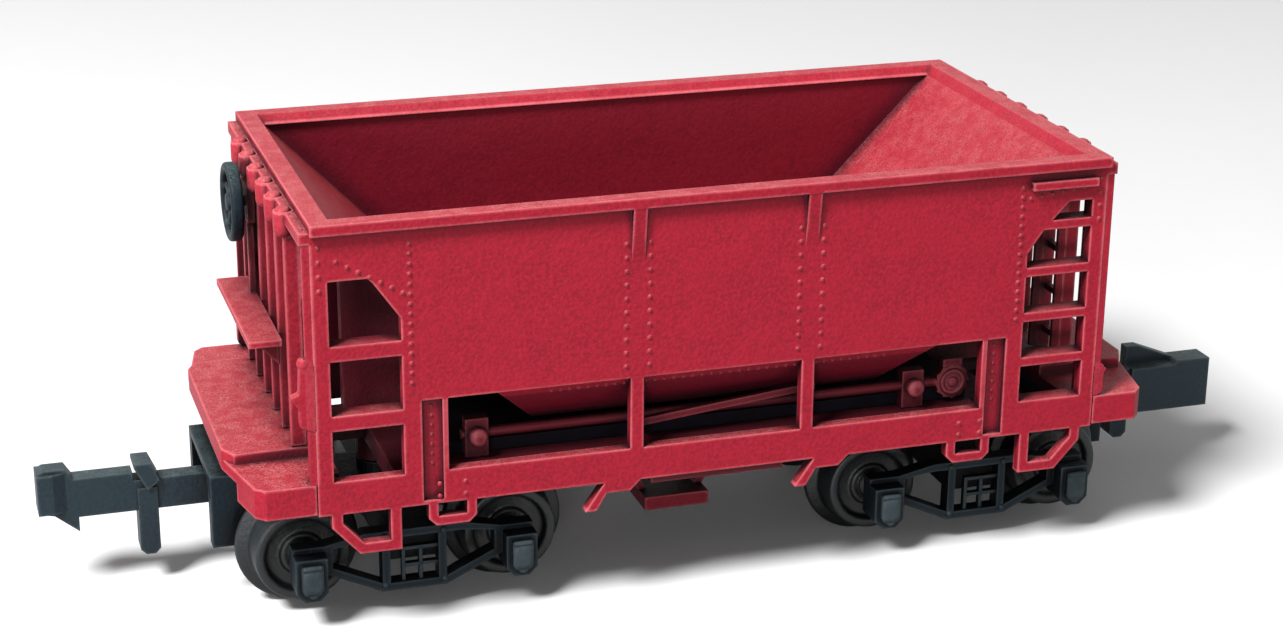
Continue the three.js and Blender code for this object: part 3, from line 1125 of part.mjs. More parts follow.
// Brake platform on the end posts at -X, with the brake housing on its staff
function brakeParts() {
  const backX = -END_POST_X - PLATFORM_GAP;
  const foot = SILL_Z + PLATFORM_HEIGHT;
  const plate = block([backX - PLATFORM_DEPTH, backX], [-PLATFORM_WIDTH / 2, PLATFORM_WIDTH / 2],
    [foot, foot + PLATFORM_THICKNESS]);
  const braceHalf = PLATFORM_BRACE_THICKNESS / 2;
  const brace = [[backX, foot + WELD], [backX - PLATFORM_BRACE, foot + WELD], [backX, foot - PLATFORM_BRACE]];
  const braces = [-1.5, 1.5].map((share) => {
    const y = share * END_POST_PITCH;
    return sideProfile(brace, [y - braceHalf, y + braceHalf]);
  });
  const wheelZ = SILL_Z + BRAKE_WHEEL_HEIGHT;
  const housingX = [backX - BRAKE_HOUSING_DEPTH, backX];
  const housingY = [BRAKE_WHEEL_SIDE - BRAKE_HOUSING_WIDTH / 2, BRAKE_WHEEL_SIDE + BRAKE_HOUSING_WIDTH / 2];
  const housing = block(housingX, housingY,
    [wheelZ - BRAKE_HOUSING_HEIGHT / 2, wheelZ + BRAKE_HOUSING_HEIGHT / 2]);
  const rod = block([backX - BRAKE_ROD_WIDTH, backX],
    [BRAKE_WHEEL_SIDE - BRAKE_ROD_WIDTH / 2, BRAKE_WHEEL_SIDE + BRAKE_ROD_WIDTH / 2],
    [foot, wheelZ]);
  const socket = bar('x', BRAKE_SHAFT_DIAMETER + 2 * BRAKE_SHAFT_CLEARANCE,
    [housingX[0] - OVERRUN, backX + OVERRUN],
    [BRAKE_WHEEL_SIDE, wheelZ], SMALL_ROUND_STEPS);
  return join([plate, ...braces, housing, rod]).subtract(socket);
}

function brakeWheel() {
  const faceX = -END_POST_X - PLATFORM_GAP - BRAKE_HOUSING_DEPTH;
  const centre = [BRAKE_WHEEL_SIDE, SILL_Z + BRAKE_WHEEL_HEIGHT];
  const rimX = [faceX - BRAKE_WHEEL_STANDOFF - BRAKE_WHEEL_THICKNESS, faceX - BRAKE_WHEEL_STANDOFF];
  const disc = bar('x', BRAKE_WHEEL_DIAMETER, rimX, centre);
  const hollow = bar('x', BRAKE_WHEEL_DIAMETER - 2 * BRAKE_WHEEL_RIM,
    [rimX[0] - OVERRUN, rimX[1] + OVERRUN], centre);
  const hub = bar('x', BRAKE_WHEEL_HUB_DIAMETER, rimX, centre, SMALL_ROUND_STEPS);
  const shaft = bar('x', BRAKE_SHAFT_DIAMETER, [rimX[0], faceX + BRAKE_HOUSING_DEPTH], centre,
    SMALL_ROUND_STEPS);
  const spokes = Array.from({ length: BRAKE_WHEEL_SPOKES }, (_, i) => brakeSpoke(i, rimX, centre));
  return join([disc.subtract(hollow), hub, shaft, ...spokes]);
}

function brakeSpoke(i, [x0, x1], centre) {
  const half = BRAKE_WHEEL_SPOKE_THICKNESS / 2;
  const middle = (x0 + x1) / 2;
  const reach = BRAKE_WHEEL_DIAMETER / 2 - BRAKE_WHEEL_RIM / 2;
  const across = [-BRAKE_WHEEL_SPOKE / 2, BRAKE_WHEEL_SPOKE / 2];
  const geometry = geometryOf(block([middle - half, middle + half], across, [0, reach]));
  geometry.rotateX((i * 2 * Math.PI) / BRAKE_WHEEL_SPOKES);
  geometry.translate(0, ...centre);
  return solidOf(geometry);
}

function ballast() {
  const foot = SILL_Z + CENTRE_SILL_HEIGHT + BALLAST_GAP;
  const halfX = TRUCK_X - BODY_BOLSTER_WIDTH / 2 - BALLAST_END_GAP;
  const halfY = UNDERFRAME_Y - SIDE_LEDGE_WIDTH - BALLAST_SIDE_GAP;
  return block([-halfX, halfX], [-halfY, halfY], [foot, foot + BALLAST_THICKNESS]);
}

const group = new THREE.Group();
group.add(node('hopper_body', hopperBody(), redPlastic()));
group.add(node('underframe', underframe(), redPlastic()));
group.add(node('left_end_deck', halfTurn(endDeck()), redPlastic()));
group.add(node('right_end_deck', endDeck(), redPlastic()));
group.add(node('near_side_ledge', halfTurn(sideLedge()), redPlastic()));
group.add(node('far_side_ledge', sideLedge(), redPlastic()));
group.add(node('outlet', outlet(), redPlastic()));
group.add(node('near_door_gear', doorGear(), redPlastic()));
group.add(node('far_door_gear', halfTurn(doorGear()), redPlastic()));
group.add(node('brake_platform', brakeParts(), redPlastic()));
group.add(node('brake_wheel', brakeWheel(), blackPlastic()));
group.add(node('ballast_plate', ballast(), darkSteel()));
group.add(truck('left', -1, hookCoupler()));
group.add(truck('right', 1, latchCoupler()));

export default group;
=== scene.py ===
# %% [markdown]
# # A small-scale ore hopper car
# The car is a railway model for nine-millimetre track: an open hopper moulded in red-oxide plastic, carried
# by two four-wheel trucks moulded in blue-black plastic. This lesson loads the car's solids, which already
# have their true sizes and joints, and gives them the surfaces and the small raised details that the real
# one has. Blender measures in metres and nothing here is longer than a thumb, so one millimetre has its own
# name, and every shape below is described in millimetres. Only the lamps and the floor are in metres.

# %% Load the solids
import json
import math

import bmesh
import bpy
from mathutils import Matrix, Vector

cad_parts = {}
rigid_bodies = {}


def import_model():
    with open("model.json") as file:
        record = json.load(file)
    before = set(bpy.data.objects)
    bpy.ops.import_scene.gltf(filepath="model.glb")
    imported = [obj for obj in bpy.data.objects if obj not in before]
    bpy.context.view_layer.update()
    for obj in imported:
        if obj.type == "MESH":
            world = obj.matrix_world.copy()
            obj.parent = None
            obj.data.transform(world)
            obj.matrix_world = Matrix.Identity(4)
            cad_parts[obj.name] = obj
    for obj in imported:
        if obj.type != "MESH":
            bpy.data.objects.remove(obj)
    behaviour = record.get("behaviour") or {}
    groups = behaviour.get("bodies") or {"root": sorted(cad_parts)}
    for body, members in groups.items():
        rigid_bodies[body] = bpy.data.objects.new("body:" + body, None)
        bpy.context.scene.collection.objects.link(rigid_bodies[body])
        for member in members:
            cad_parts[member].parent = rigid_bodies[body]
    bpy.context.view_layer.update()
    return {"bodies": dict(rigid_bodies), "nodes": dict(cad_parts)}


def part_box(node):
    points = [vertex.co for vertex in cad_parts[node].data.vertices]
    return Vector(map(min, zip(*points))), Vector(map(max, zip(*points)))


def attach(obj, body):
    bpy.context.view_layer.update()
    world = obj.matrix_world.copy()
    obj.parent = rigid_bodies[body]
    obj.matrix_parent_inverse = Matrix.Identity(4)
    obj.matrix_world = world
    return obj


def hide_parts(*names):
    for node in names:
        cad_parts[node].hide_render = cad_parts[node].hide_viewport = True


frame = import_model()
nodes = frame["nodes"]
MM = 0.001

# %% [markdown]
# ## The camera
# The car is seen from a little above and from its left. The two side sheets, the rim and the wheels give
# enough straight edges of known length to work out where the lens was, so the camera is placed by those
# numbers and not by eye. The lens axis passed left of the middle of the picture, which is what a small
# sideways shift stands for.

# %% Camera
PICTURE_WIDTH, PICTURE_HEIGHT = 1283, 639
FOCAL_PIXELS = 2516
AXIS_PIXEL = (600, 320)
SENSOR_WIDTH = 36
LENS_PLACE = Vector((-37.3, -112.2, 53.3)) * MM
LOOKING_DOWN, ROLLED, TURNED_RIGHT = 19.84, -0.16, 16.90
NEAREST, FARTHEST = 0.01, 20

lens = bpy.data.cameras.new("camera")
lens.sensor_width = SENSOR_WIDTH
lens.lens = FOCAL_PIXELS / PICTURE_WIDTH * lens.sensor_width
lens.shift_x = (PICTURE_WIDTH / 2 - AXIS_PIXEL[0]) / PICTURE_WIDTH
lens.shift_y = (AXIS_PIXEL[1] - PICTURE_HEIGHT / 2) / PICTURE_WIDTH
lens.clip_start, lens.clip_end = NEAREST, FARTHEST
camera = bpy.data.objects.new("camera", lens)
camera.location = LENS_PLACE
camera.rotation_euler = [math.radians(angle) for angle in (90 - LOOKING_DOWN, ROLLED, -TURNED_RIGHT)]
bpy.context.scene.collection.objects.link(camera)
bpy.context.scene.camera = camera
print("lens mm:", round(lens.lens, 1), "shift:", round(lens.shift_x, 4))

# %% [markdown]
# ## Shader maths
# A finish is worked out from noise, edges and height with ordinary arithmetic. One small class holds a
# socket of a shader tree and turns each Python operator into a Math node, so that a mask reads like a
# formula.

# %% A socket that can be calculated with
class Value:
    def __init__(self, tree, socket):
        self.tree, self.socket = tree, socket

    def node(self, kind, sockets, output=0, **settings):
        return add_node(self.tree, kind, sockets, output, **settings)

    def maths(self, operation, a, b):
        return self.node("ShaderNodeMath", {0: a, 1: b}, operation=operation)

    def __add__(self, other): return self.maths("ADD", self, other)
    def __radd__(self, other): return self.maths("ADD", other, self)
    def __sub__(self, other): return self.maths("SUBTRACT", self, other)
    def __rsub__(self, other): return self.maths("SUBTRACT", other, self)
    def __mul__(self, other): return self.maths("MULTIPLY", self, other)
    def __rmul__(self, other): return self.maths("MULTIPLY", other, self)

    def size(self):
        return self.maths("ABSOLUTE", self, 0)

    def between(self, low, high):
        return self.node("ShaderNodeMapRange", {"Value": self, "From Min": low, "From Max": high},
                         interpolation_type="SMOOTHSTEP")


def add_node(tree, kind, sockets, output=0, **settings):
    node = tree.nodes.new(kind)
    for name, setting in settings.items():
        setattr(node, name, setting)
    for name, value in sockets.items():
        if isinstance(value, Value):
            tree.links.new(value.socket, node.inputs[name])
        else:
            node.inputs[name].default_value = value
    return Value(tree, node.outputs[output])


def blend_colours(tree, mask, first, second):
    node = tree.nodes.new("ShaderNodeMix")
    node.data_type = "RGBA"
    for socket, value in ((node.inputs[0], mask), (node.inputs[6], first), (node.inputs[7], second)):
        if isinstance(value, Value):
            tree.links.new(value.socket, socket)
        else:
            socket.default_value = value
    return Value(tree, node.outputs[2])


print("operators ready:", [name for name in vars(Value) if name.startswith("__")][2:])

# %% [markdown]
# ## Moulded plastic
# The body was moulded in one red-oxide plastic and left unpainted. Close up it isn't one flat colour: the
# mould's spark-eroded skin gives it a fine grain, upward faces carry a little pale dust and a painted sheen
# of the light from above, the edges are lighter from handling wear and from a painted highlight, corners
# get painted shade, and a deeper painted shade lies on everything deep under and inside the car. Each of
# these is one mask here: noise for the grain, the direction of the face for the dust and sheen, and ambient
# occlusion for the rest. It is measured inside the solid for the edges, and outside it, near and far, for
# the painted shade in corners and the deeper painted shade.

# %% Tools for a finish
BEVEL_SAMPLES, SHADE_SAMPLES = 6, 8


def finish_tree(name):
    material = bpy.data.materials.new(name)
    material.use_nodes = True
    tree = material.node_tree
    shader = tree.nodes["Principled BSDF"]
    place = add_node(tree, "ShaderNodeTexCoord", {}, output=3)
    in_mm = add_node(tree, "ShaderNodeVectorMath", {0: place, "Scale": 1 / MM}, operation="SCALE")
    return material, tree, shader, in_mm


def noise(tree, place, per_mm, detail=3.0, roughness=0.6):
    sockets = {"Vector": place, "Scale": per_mm, "Detail": detail, "Roughness": roughness}
    return add_node(tree, "ShaderNodeTexNoise", sockets)


def openness(tree, reach_mm, inside=False):
    """1 where nothing is near, 0 in a tight corner; inside=True feels inside the solid, to find its edges."""
    sockets = {"Distance": reach_mm * MM}
    return add_node(tree, "ShaderNodeAmbientOcclusion", sockets, output=1, inside=inside,
                    samples=SHADE_SAMPLES)


def part_of(tree, vector, letter):
    return add_node(tree, "ShaderNodeSeparateXYZ", {"Vector": vector}, output="XYZ".index(letter))


def facing_up(tree):
    return part_of(tree, add_node(tree, "ShaderNodeNewGeometry", {}, output=1), "Z")


def plug(tree, shader, **values):
    for name, value in values.items():
        socket = shader.inputs[name.replace("_", " ")]
        if isinstance(value, Value):
            tree.links.new(value.socket, socket)
        else:
            socket.default_value = value


def rounded_normal(tree, radius_mm):
    return add_node(tree, "ShaderNodeBevel", {"Radius": radius_mm * MM}, samples=BEVEL_SAMPLES)


def grain_on(tree, normal, height, depth_mm, strength=1.0):
    sockets = {"Strength": strength, "Distance": depth_mm * MM, "Height": height, "Normal": normal}
    return add_node(tree, "ShaderNodeBump", sockets)


def shade(colour, share):
    return tuple(min(1, part * share) for part in colour[:3]) + (1,)


print("finish tools ready, samples:", BEVEL_SAMPLES, SHADE_SAMPLES)

# %% [markdown]
# The hopper's upright inner walls get painted shade, so that they look deeper than the outside. They are
# found by place: inside the mouth, above the floor, and not facing up as the slopes do.

# %% Painted shade inside the hopper
HOPPER_MOUTH_X, HOPPER_MOUTH_Y, HOPPER_FLOOR_Z = 18.4, 9.1, 9.7
SHADE_FADE_X, SHADE_FADE_Y, SHADE_FADE_Z = 0.1, 0.05, 0.1
UPRIGHT_FROM, UPRIGHT_FULLY = 0.5, 0.9


def within_hopper(tree, place):
    """1 on the upright inner faces of the hopper, where shade is painted; 0 on the rim, the slopes and
    everything outside.
    """
    along, across, height = (part_of(tree, place, letter) for letter in "XYZ")
    lengthwise = (HOPPER_MOUTH_X - along.size()).between(0, SHADE_FADE_X)
    crosswise = (HOPPER_MOUTH_Y - across.size()).between(0, SHADE_FADE_Y)
    above_floor = (height - HOPPER_FLOOR_Z).between(0, SHADE_FADE_Z)
    upright = (1 - facing_up(tree)).between(UPRIGHT_FROM, UPRIGHT_FULLY)
    return lengthwise * crosswise * above_floor * upright


print("mouth mm:", 2 * HOPPER_MOUTH_X, "by", 2 * HOPPER_MOUTH_Y)

# %% [markdown]
# One recipe makes every plastic of the car. Lengths are in millimetres, and the other numbers say how much
# of a mask shows: where it begins and where it is full.

# %% One recipe for all plastics
PATCHES_PER_MM, GRAIN_PER_MM, DUST_AND_SHEEN_PER_MM, SPECKS_PER_MM, DRIFTS_PER_MM = 0.5, 5.5, 14.0, 9.0, 1.3
EDGE_REACH, CORNER_REACH, DEEP_SHADE_REACH = 0.2, 1.5, 9.5
EDGE_RADIUS, GRAIN_DEPTH = 0.09, 0.03
LIGHTER, DEEPER, DEEP_SHADE_SHARE = 1.28, 0.78, 0.3
CORNER_SHADE_STRENGTH, DUST_AND_SHEEN_STRENGTH = 0.88, 0.95


# edge is the colour of the lighter edges, partly wear and partly painted highlight; corner is the colour of
# painted shade.
def moulded_plastic(name, colour, edge, dust_and_sheen_colour, corner, gloss, specular=0.25, wear_and_highlight_share=0.8, inner_painted_shade=0.0):
    material, tree, shader, place = finish_tree(name)
    soft_patches = noise(tree, place, PATCHES_PER_MM).between(0.3, 0.7)
    grain = noise(tree, place, GRAIN_PER_MM, detail=4.0)
    fine_dust_and_sheen = noise(tree, place, DUST_AND_SHEEN_PER_MM, detail=2.0)
    specks = noise(tree, place, SPECKS_PER_MM, detail=1.0).between(0.6, 0.78)
    drifts = 0.35 + 0.65 * noise(tree, place, DRIFTS_PER_MM, detail=4.0).between(0.35, 0.65)

    edges = (1 - openness(tree, EDGE_REACH, inside=True)).between(0.12, 0.5)
    # Painted shade in corners: where faces are near, the colour darkens towards the corner colour.
    corners = (1 - openness(tree, CORNER_REACH)).between(0.08, 0.42)
    # Deeper painted shade where much is near: deep under the car, inside it and between its parts.
    deep_painted_shade = (1 - openness(tree, DEEP_SHADE_REACH)).between(0.4, 0.7)
    # Lighter edges: partly handling wear, partly a painted highlight.
    wear_and_highlight_mask = edges * (0.25 + 0.45 * grain + 0.4 * soft_patches)
    # Upward faces get pale dust and, with it, a painted sheen of the light from above.
    dust_and_sheen_mask = facing_up(tree).between(0.35, 0.95) * fine_dust_and_sheen.between(0.35, 0.65) * drifts * DUST_AND_SHEEN_STRENGTH

    lighter = shade(colour, LIGHTER)
    tone = blend_colours(tree, grain.between(0.3, 0.7), shade(colour, DEEPER), lighter)
    tone = blend_colours(tree, soft_patches * 0.4 + specks * 0.3, tone, lighter)
    tone = blend_colours(tree, corners * CORNER_SHADE_STRENGTH, tone, corner)
    tone = blend_colours(tree, dust_and_sheen_mask, tone, dust_and_sheen_colour)
    tone = blend_colours(tree, wear_and_highlight_mask * wear_and_highlight_share, tone, edge)
    tone = blend_colours(tree, deep_painted_shade, tone, shade(corner, DEEP_SHADE_SHARE))
    # Painted shade on the hopper's upright inner walls.
    if inner_painted_shade:
        tone = blend_colours(tree, within_hopper(tree, place) * inner_painted_shade, tone, corner)

    roughness = gloss + 0.12 * grain + 0.1 * dust_and_sheen_mask
    normal = grain_on(tree, rounded_normal(tree, EDGE_RADIUS), grain + 0.5 * soft_patches, GRAIN_DEPTH)
    plug(tree, shader, Base_Color=tone, Roughness=roughness, Normal=normal)
    shader.inputs["Specular IOR Level"].default_value = specular
    return material


print("recipe ready, reaches mm:", EDGE_REACH, CORNER_REACH, DEEP_SHADE_REACH)

# %% [markdown]
# The red plastic comes in four finishes. The hopper's has painted shade on its upright inner walls, the
# rivets and small fittings are too low to be rubbed much and get little of the lighter edge, which is wear
# and painted highlight, and the door gear deep under the side is a copy of the red darkened by painted shade.
# The plastic of the trucks is blue-black, a little lighter on the couplers, and the wheels' treads are worn
# smoother.

# %% The plastics of the car
RED, RED_EDGE, RED_DUST_AND_SHEEN = (0.35, 0.011, 0.028, 1), (0.85, 0.2, 0.23, 1), (0.56, 0.165, 0.165, 1)
# The dark red of painted shade, laid in corners, deep under the car and on the hopper's inner walls.
RED_PAINTED_SHADE = (0.075, 0.002, 0.01, 1)
RED_PARTS = dict(colour=RED, edge=RED_EDGE, dust_and_sheen_colour=RED_DUST_AND_SHEEN, corner=RED_PAINTED_SHADE)

red_oxide = moulded_plastic("red_oxide_plastic", gloss=0.5, **RED_PARTS)
hopper_red = moulded_plastic("stained_hopper_plastic", gloss=0.5, inner_painted_shade=0.7, **RED_PARTS)
rivet_red = moulded_plastic("rivet_plastic", gloss=0.45, wear_and_highlight_share=0.12, **RED_PARTS)
# Painted shade: a darkened copy of the red for the door gear, underframe and side ledges under the car.
gear_red_painted_shade = moulded_plastic(
    "door_gear_plastic", colour=(0.09, 0.003, 0.008, 1), edge=(0.42, 0.09, 0.11, 1),
    dust_and_sheen_colour=(0.14, 0.02, 0.022, 1), corner=RED_PAINTED_SHADE, gloss=0.5, wear_and_highlight_share=0.55)
blue_black = moulded_plastic(
    "blue_black_plastic", colour=(0.006, 0.0125, 0.018, 1), edge=(0.075, 0.1, 0.11, 1),
    dust_and_sheen_colour=(0.07, 0.1, 0.1, 1), corner=(0.001, 0.0015, 0.004, 1), gloss=0.45, wear_and_highlight_share=0.75, specular=0.14)
coupler_black = moulded_plastic(
    "coupler_plastic", colour=(0.011, 0.022, 0.03, 1), edge=(0.09, 0.12, 0.13, 1),
    dust_and_sheen_colour=(0.09, 0.13, 0.13, 1), corner=(0.002, 0.004, 0.008, 1), gloss=0.45, wear_and_highlight_share=0.6)
worn_wheel = moulded_plastic(
    "worn_wheel_plastic", colour=(0.012, 0.016, 0.019, 1), edge=(0.10, 0.11, 0.11, 1),
    dust_and_sheen_colour=(0.05, 0.05, 0.045, 1), corner=(0.003, 0.004, 0.005, 1), gloss=0.36, specular=0.35)
PLASTICS = (red_oxide, hopper_red, rivet_red, gear_red_painted_shade, blue_black, coupler_black, worn_wheel)
print("plastics:", [plastic.name for plastic in PLASTICS])

# %% [markdown]
# ## Steel
# The axles are turned from steel wire, so their fine scratches run round them; the ballast plate is cut
# from rolled sheet, and its colour is darkened nearly to black as painted shade, for it lies deep under the
# car.
# Scratches that run one way come from noise that is squeezed across that way.

# %% Turned and rolled steel
SCRATCHES_PER_MM, STAINS_PER_MM = 3.0, 0.8
SCRATCH_DEPTH, STEEL_EDGE_RADIUS, STAIN_SHADE = 0.006, 0.05, 0.45


def steel_finish(name, colour, squeeze, gloss):
    material, tree, shader, place = finish_tree(name)
    stretched = add_node(tree, "ShaderNodeVectorMath", {0: place, 1: squeeze}, operation="MULTIPLY")
    scratches = noise(tree, stretched, SCRATCHES_PER_MM, detail=4.0)
    stains = noise(tree, place, STAINS_PER_MM).between(0.45, 0.75)
    tone = blend_colours(tree, stains * 0.5, colour, shade(colour, STAIN_SHADE))
    normal = grain_on(tree, rounded_normal(tree, STEEL_EDGE_RADIUS), scratches, SCRATCH_DEPTH)
    plug(tree, shader, Base_Color=tone, Roughness=gloss + 0.25 * scratches, Normal=normal)
    shader.inputs["Metallic"].default_value = 1
    return material


turned_steel = steel_finish("turned_steel", colour=(0.55, 0.54, 0.52, 1), squeeze=(0.3, 6, 0.3), gloss=0.2)
# Painted shade: the rolled steel is darkened nearly to black for the shade under the car.
rolled_steel = steel_finish("rolled_steel", colour=(0.012, 0.010, 0.014, 1), squeeze=(0.3, 4, 4), gloss=0.6)
print("metals:", turned_steel.name, rolled_steel.name)

# %% [markdown]
# ## Dressing the solids
# A solid whose shape is already right keeps its mesh and only gets its finish. What a solid is made of
# follows from how its name ends: the first ending in the table that fits is taken, and the rest is plain
# red plastic.

# %% Finishes for the solids that stay
FINISH_BY_ENDING = {
    ("ballast_plate",): rolled_steel,
    ("underframe", "side_ledge", "door_gear"): gear_red_painted_shade,
    ("axle", "spring"): turned_steel,
    ("coupler",): coupler_black,
    ("truck_frame", "truck_pin", "pocket_cover", "wheel"): blue_black,
    ("hopper_body",): hopper_red,
}


def finish_for(name):
    return next((finish for endings, finish in FINISH_BY_ENDING.items() if name.endswith(endings)), red_oxide)


for name, solid in nodes.items():
    solid.data.materials.clear()
    solid.data.materials.append(finish_for(name))
print("dressed:", len(nodes))

# %% [markdown]
# ## Two ways to shape a part
# Wheels, axles, knobs and nuts were turned, so each is a profile swept round an axis. Moulded parts have no
# truly sharp edge, so the corners of a profile are first replaced by short arcs. Modelling such a part from
# a cylinder and bevelling it would also work, but the profile keeps every size in one readable list of
# named lengths.

# %% Profiles with rounded corners, swept round an axis
LONGEST_CORNER = 0.45
SHARP_FROM = math.radians(40)


def rounded(profile, radius, closed=True, steps=3):
    """Replace each corner by a short arc that takes at most LONGEST_CORNER of either straight beside it."""
    points = [Vector(p) for p in profile]
    smooth = []
    for i, corner in enumerate(points):
        if not closed and i in (0, len(points) - 1):
            smooth.append(corner)
            continue
        before, after = points[i - 1] - corner, points[(i + 1) % len(points)] - corner
        reach = min(radius, before.length * LONGEST_CORNER, after.length * LONGEST_CORNER)
        start, end = corner + before.normalized() * reach, corner + after.normalized() * reach
        for k in range(steps + 1):
            t = k / steps
            smooth.append(start * (1 - t) ** 2 + corner * 2 * t * (1 - t) + end * t ** 2)
    return smooth


def turned(mesh, profile, centre, axis, closed=True, steps=64):
    """Sweep (radius, along) pairs round an axis through centre; lengths in millimetres."""
    turn = Vector(axis).to_track_quat("Z", "Y").to_matrix()
    rings = []
    for radius, along in profile:
        count = steps if radius > 0 else 1  # a point on the axis needs no ring
        angles = [math.tau * i / steps for i in range(count)]
        ring = [Vector((radius * math.cos(a), radius * math.sin(a), along)) for a in angles]
        rings.append([mesh.verts.new((Vector(centre) + turn @ p) * MM) for p in ring])
    pairs = list(zip(rings, rings[1:] + rings[:1])) if closed else list(zip(rings, rings[1:]))
    for low, high in pairs:
        for i in range(steps):
            j = (i + 1) % steps
            corners = [low[i % len(low)], low[j % len(low)], high[j % len(high)], high[i % len(high)]]
            unique = list(dict.fromkeys(corners))
            if len(unique) > 2:
                mesh.faces.new(unique)


def finished(mesh, name, material, body):
    bmesh.ops.recalc_face_normals(mesh, faces=mesh.faces)
    data = bpy.data.meshes.new(name)
    mesh.to_mesh(data)
    mesh.free()
    data.materials.append(material)
    data.shade_smooth()
    data.set_sharp_from_angle(angle=SHARP_FROM)
    piece = bpy.data.objects.new(name, data)
    bpy.context.scene.collection.objects.link(piece)
    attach(piece, body)
    return piece


def box_mm(name):
    return [Vector(corner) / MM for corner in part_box(name)]


def half_turn(turn, x, y, z):
    """A place given for the near side: turn 1 keeps it, and -1 turns it half round Z, to the far side."""
    return Vector((turn * x, turn * y, z))


def bridge(mesh, rings):
    """Join each ring of vertices to the next with a band of faces."""
    for low, high in zip(rings, rings[1:]):
        for i in range(len(low)):
            mesh.faces.new((low[i - 1], low[i], high[i], high[i - 1]))


def prism(mesh, outlines):
    """Close two like outlines of points in millimetres into a solid plate or bar."""
    ends = [[mesh.verts.new(point * MM) for point in outline] for outline in outlines]
    bridge(mesh, ends)
    for end in ends:
        mesh.faces.new(end)


# %% [markdown]
# ## Wheels and axles
# Each wheel is a thin flange that keeps it on the rail, a tread that tapers a little outwards, a rim, a
# dished web and a hub. The solids have them with flat facets. Here the same profile is turned in fine steps
# with its corners rounded, because the flange's lit edge is what shows between the truck's dark frames.

# %% Turned wheels and axles
TREAD_RADIUS, FLANGE_RADIUS = 2.35, 2.95
FLANGE_WIDTH, FLANGE_TIP = 0.55, 0.3
RIM_THICKNESS, WEB_RECESS, TREAD_TAPER = 0.55, 0.4, 0.1
HUB_RADIUS, BORE_RADIUS = 1.1, 0.6
WHEEL_CORNER, AXLE_CORNER = 0.14, 0.08
WHEEL_STEPS, AXLE_STEPS = 96, 48
POINT_SHARE, POINT_LENGTH_SHARE = 1 / 6, 2  # of the axle's radius


def wheel_profile(width):
    lean = (FLANGE_WIDTH - FLANGE_TIP) / 2
    rim_in = TREAD_RADIUS - RIM_THICKNESS
    web, hub_face = width - WEB_RECESS, width - WEB_RECESS / 2
    flange = [(BORE_RADIUS, 0), (FLANGE_RADIUS - lean, 0), (FLANGE_RADIUS, lean),
              (FLANGE_RADIUS, lean + FLANGE_TIP)]
    tread = [(TREAD_RADIUS, FLANGE_WIDTH), (TREAD_RADIUS - TREAD_TAPER, width), (rim_in, width)]
    dish = [(rim_in - TREAD_TAPER, web), (HUB_RADIUS, web), (HUB_RADIUS - TREAD_TAPER, hub_face)]
    return flange + tread + dish + [(BORE_RADIUS, hub_face)]


def turned_wheel(name, body):
    low, high = box_mm(name)
    width, centre = high.y - low.y, (low + high) / 2
    outward = math.copysign(1, centre.y)
    back = Vector((centre.x, centre.y - outward * width / 2, centre.z))
    mesh = bmesh.new()
    profile = rounded(wheel_profile(width), WHEEL_CORNER)
    turned(mesh, profile, back, (0, outward, 0), steps=WHEEL_STEPS)
    piece = finished(mesh, "turned_" + name, worn_wheel, body)
    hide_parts(name)
    return piece


def turned_axle(name, body):
    low, high = box_mm(name)
    half, radius = (high.y - low.y) / 2, (high.z - low.z) / 2
    point, point_length = radius * POINT_SHARE, radius * POINT_LENGTH_SHARE
    profile = [(0, -half), (point, -half), (radius, point_length - half), (radius, half - point_length),
               (point, half), (0, half)]
    mesh = bmesh.new()
    turned(mesh, rounded(profile, AXLE_CORNER, closed=False), (low + high) / 2, (0, 1, 0), closed=False,
           steps=AXLE_STEPS)
    piece = finished(mesh, "turned_" + name, turned_steel, body)
    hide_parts(name)
    return piece


turned_pieces = []
for body in frame["bodies"]:
    if body.endswith("wheelset"):
        stem = body[:-len("wheelset")]
        turned_pieces += [turned_wheel(stem + wheel, body) for wheel in ("near_wheel", "far_wheel")]
        turned_pieces.append(turned_axle(stem + "axle", body))
print("turned:", len(turned_pieces))

# %% [markdown]
# ## Brake wheel
# The hand wheel at the left end is one moulding: a thick rim with a round section, five thin spokes and a
# hub. The rim and the hub are turned, and each spoke is a short rod that grows thicker where it meets them.

# %% Rounded brake wheel
BRAKE_RIM, BRAKE_RIM_DEPTH, BRAKE_HUB_RADIUS, BRAKE_SHAFT_RADIUS = 0.42, 0.62, 0.45, 0.25
BRAKE_RIM_CORNER, BRAKE_HUB_CORNER, BRAKE_SHAFT_CORNER = 0.3, 0.14, 0.03
SPOKE_COUNT, SPOKE_WIDTH, SPOKE_DEPTH, SPOKE_FLARE = 5, 0.15, 0.13, 0.6
SPOKE_SHARES, SPOKE_SIDES = (0, 0.2, 0.5, 0.8, 1), 8
FIRST_SPOKE = 0.3
SPOKE_ROOT = 0.8  # share of the hub's radius, so that the spoke starts inside it


def spoke(mesh, centre, angle, inner, outer):
    out = Vector((0, math.cos(angle), math.sin(angle)))
    across = Vector((0, -out.z, out.y))
    rings = []
    for share in SPOKE_SHARES:
        width = SPOKE_WIDTH * (1 + SPOKE_FLARE * abs(2 * share - 1) ** 3)
        middle = centre + out * (inner + (outer - inner) * share)
        ring = []
        for i in range(SPOKE_SIDES):
            a = math.tau * i / SPOKE_SIDES
            offset = across * (width * math.cos(a)) + Vector((SPOKE_DEPTH * math.sin(a), 0, 0))
            ring.append(mesh.verts.new((middle + offset) * MM))
        rings.append(ring)
    bridge(mesh, rings)


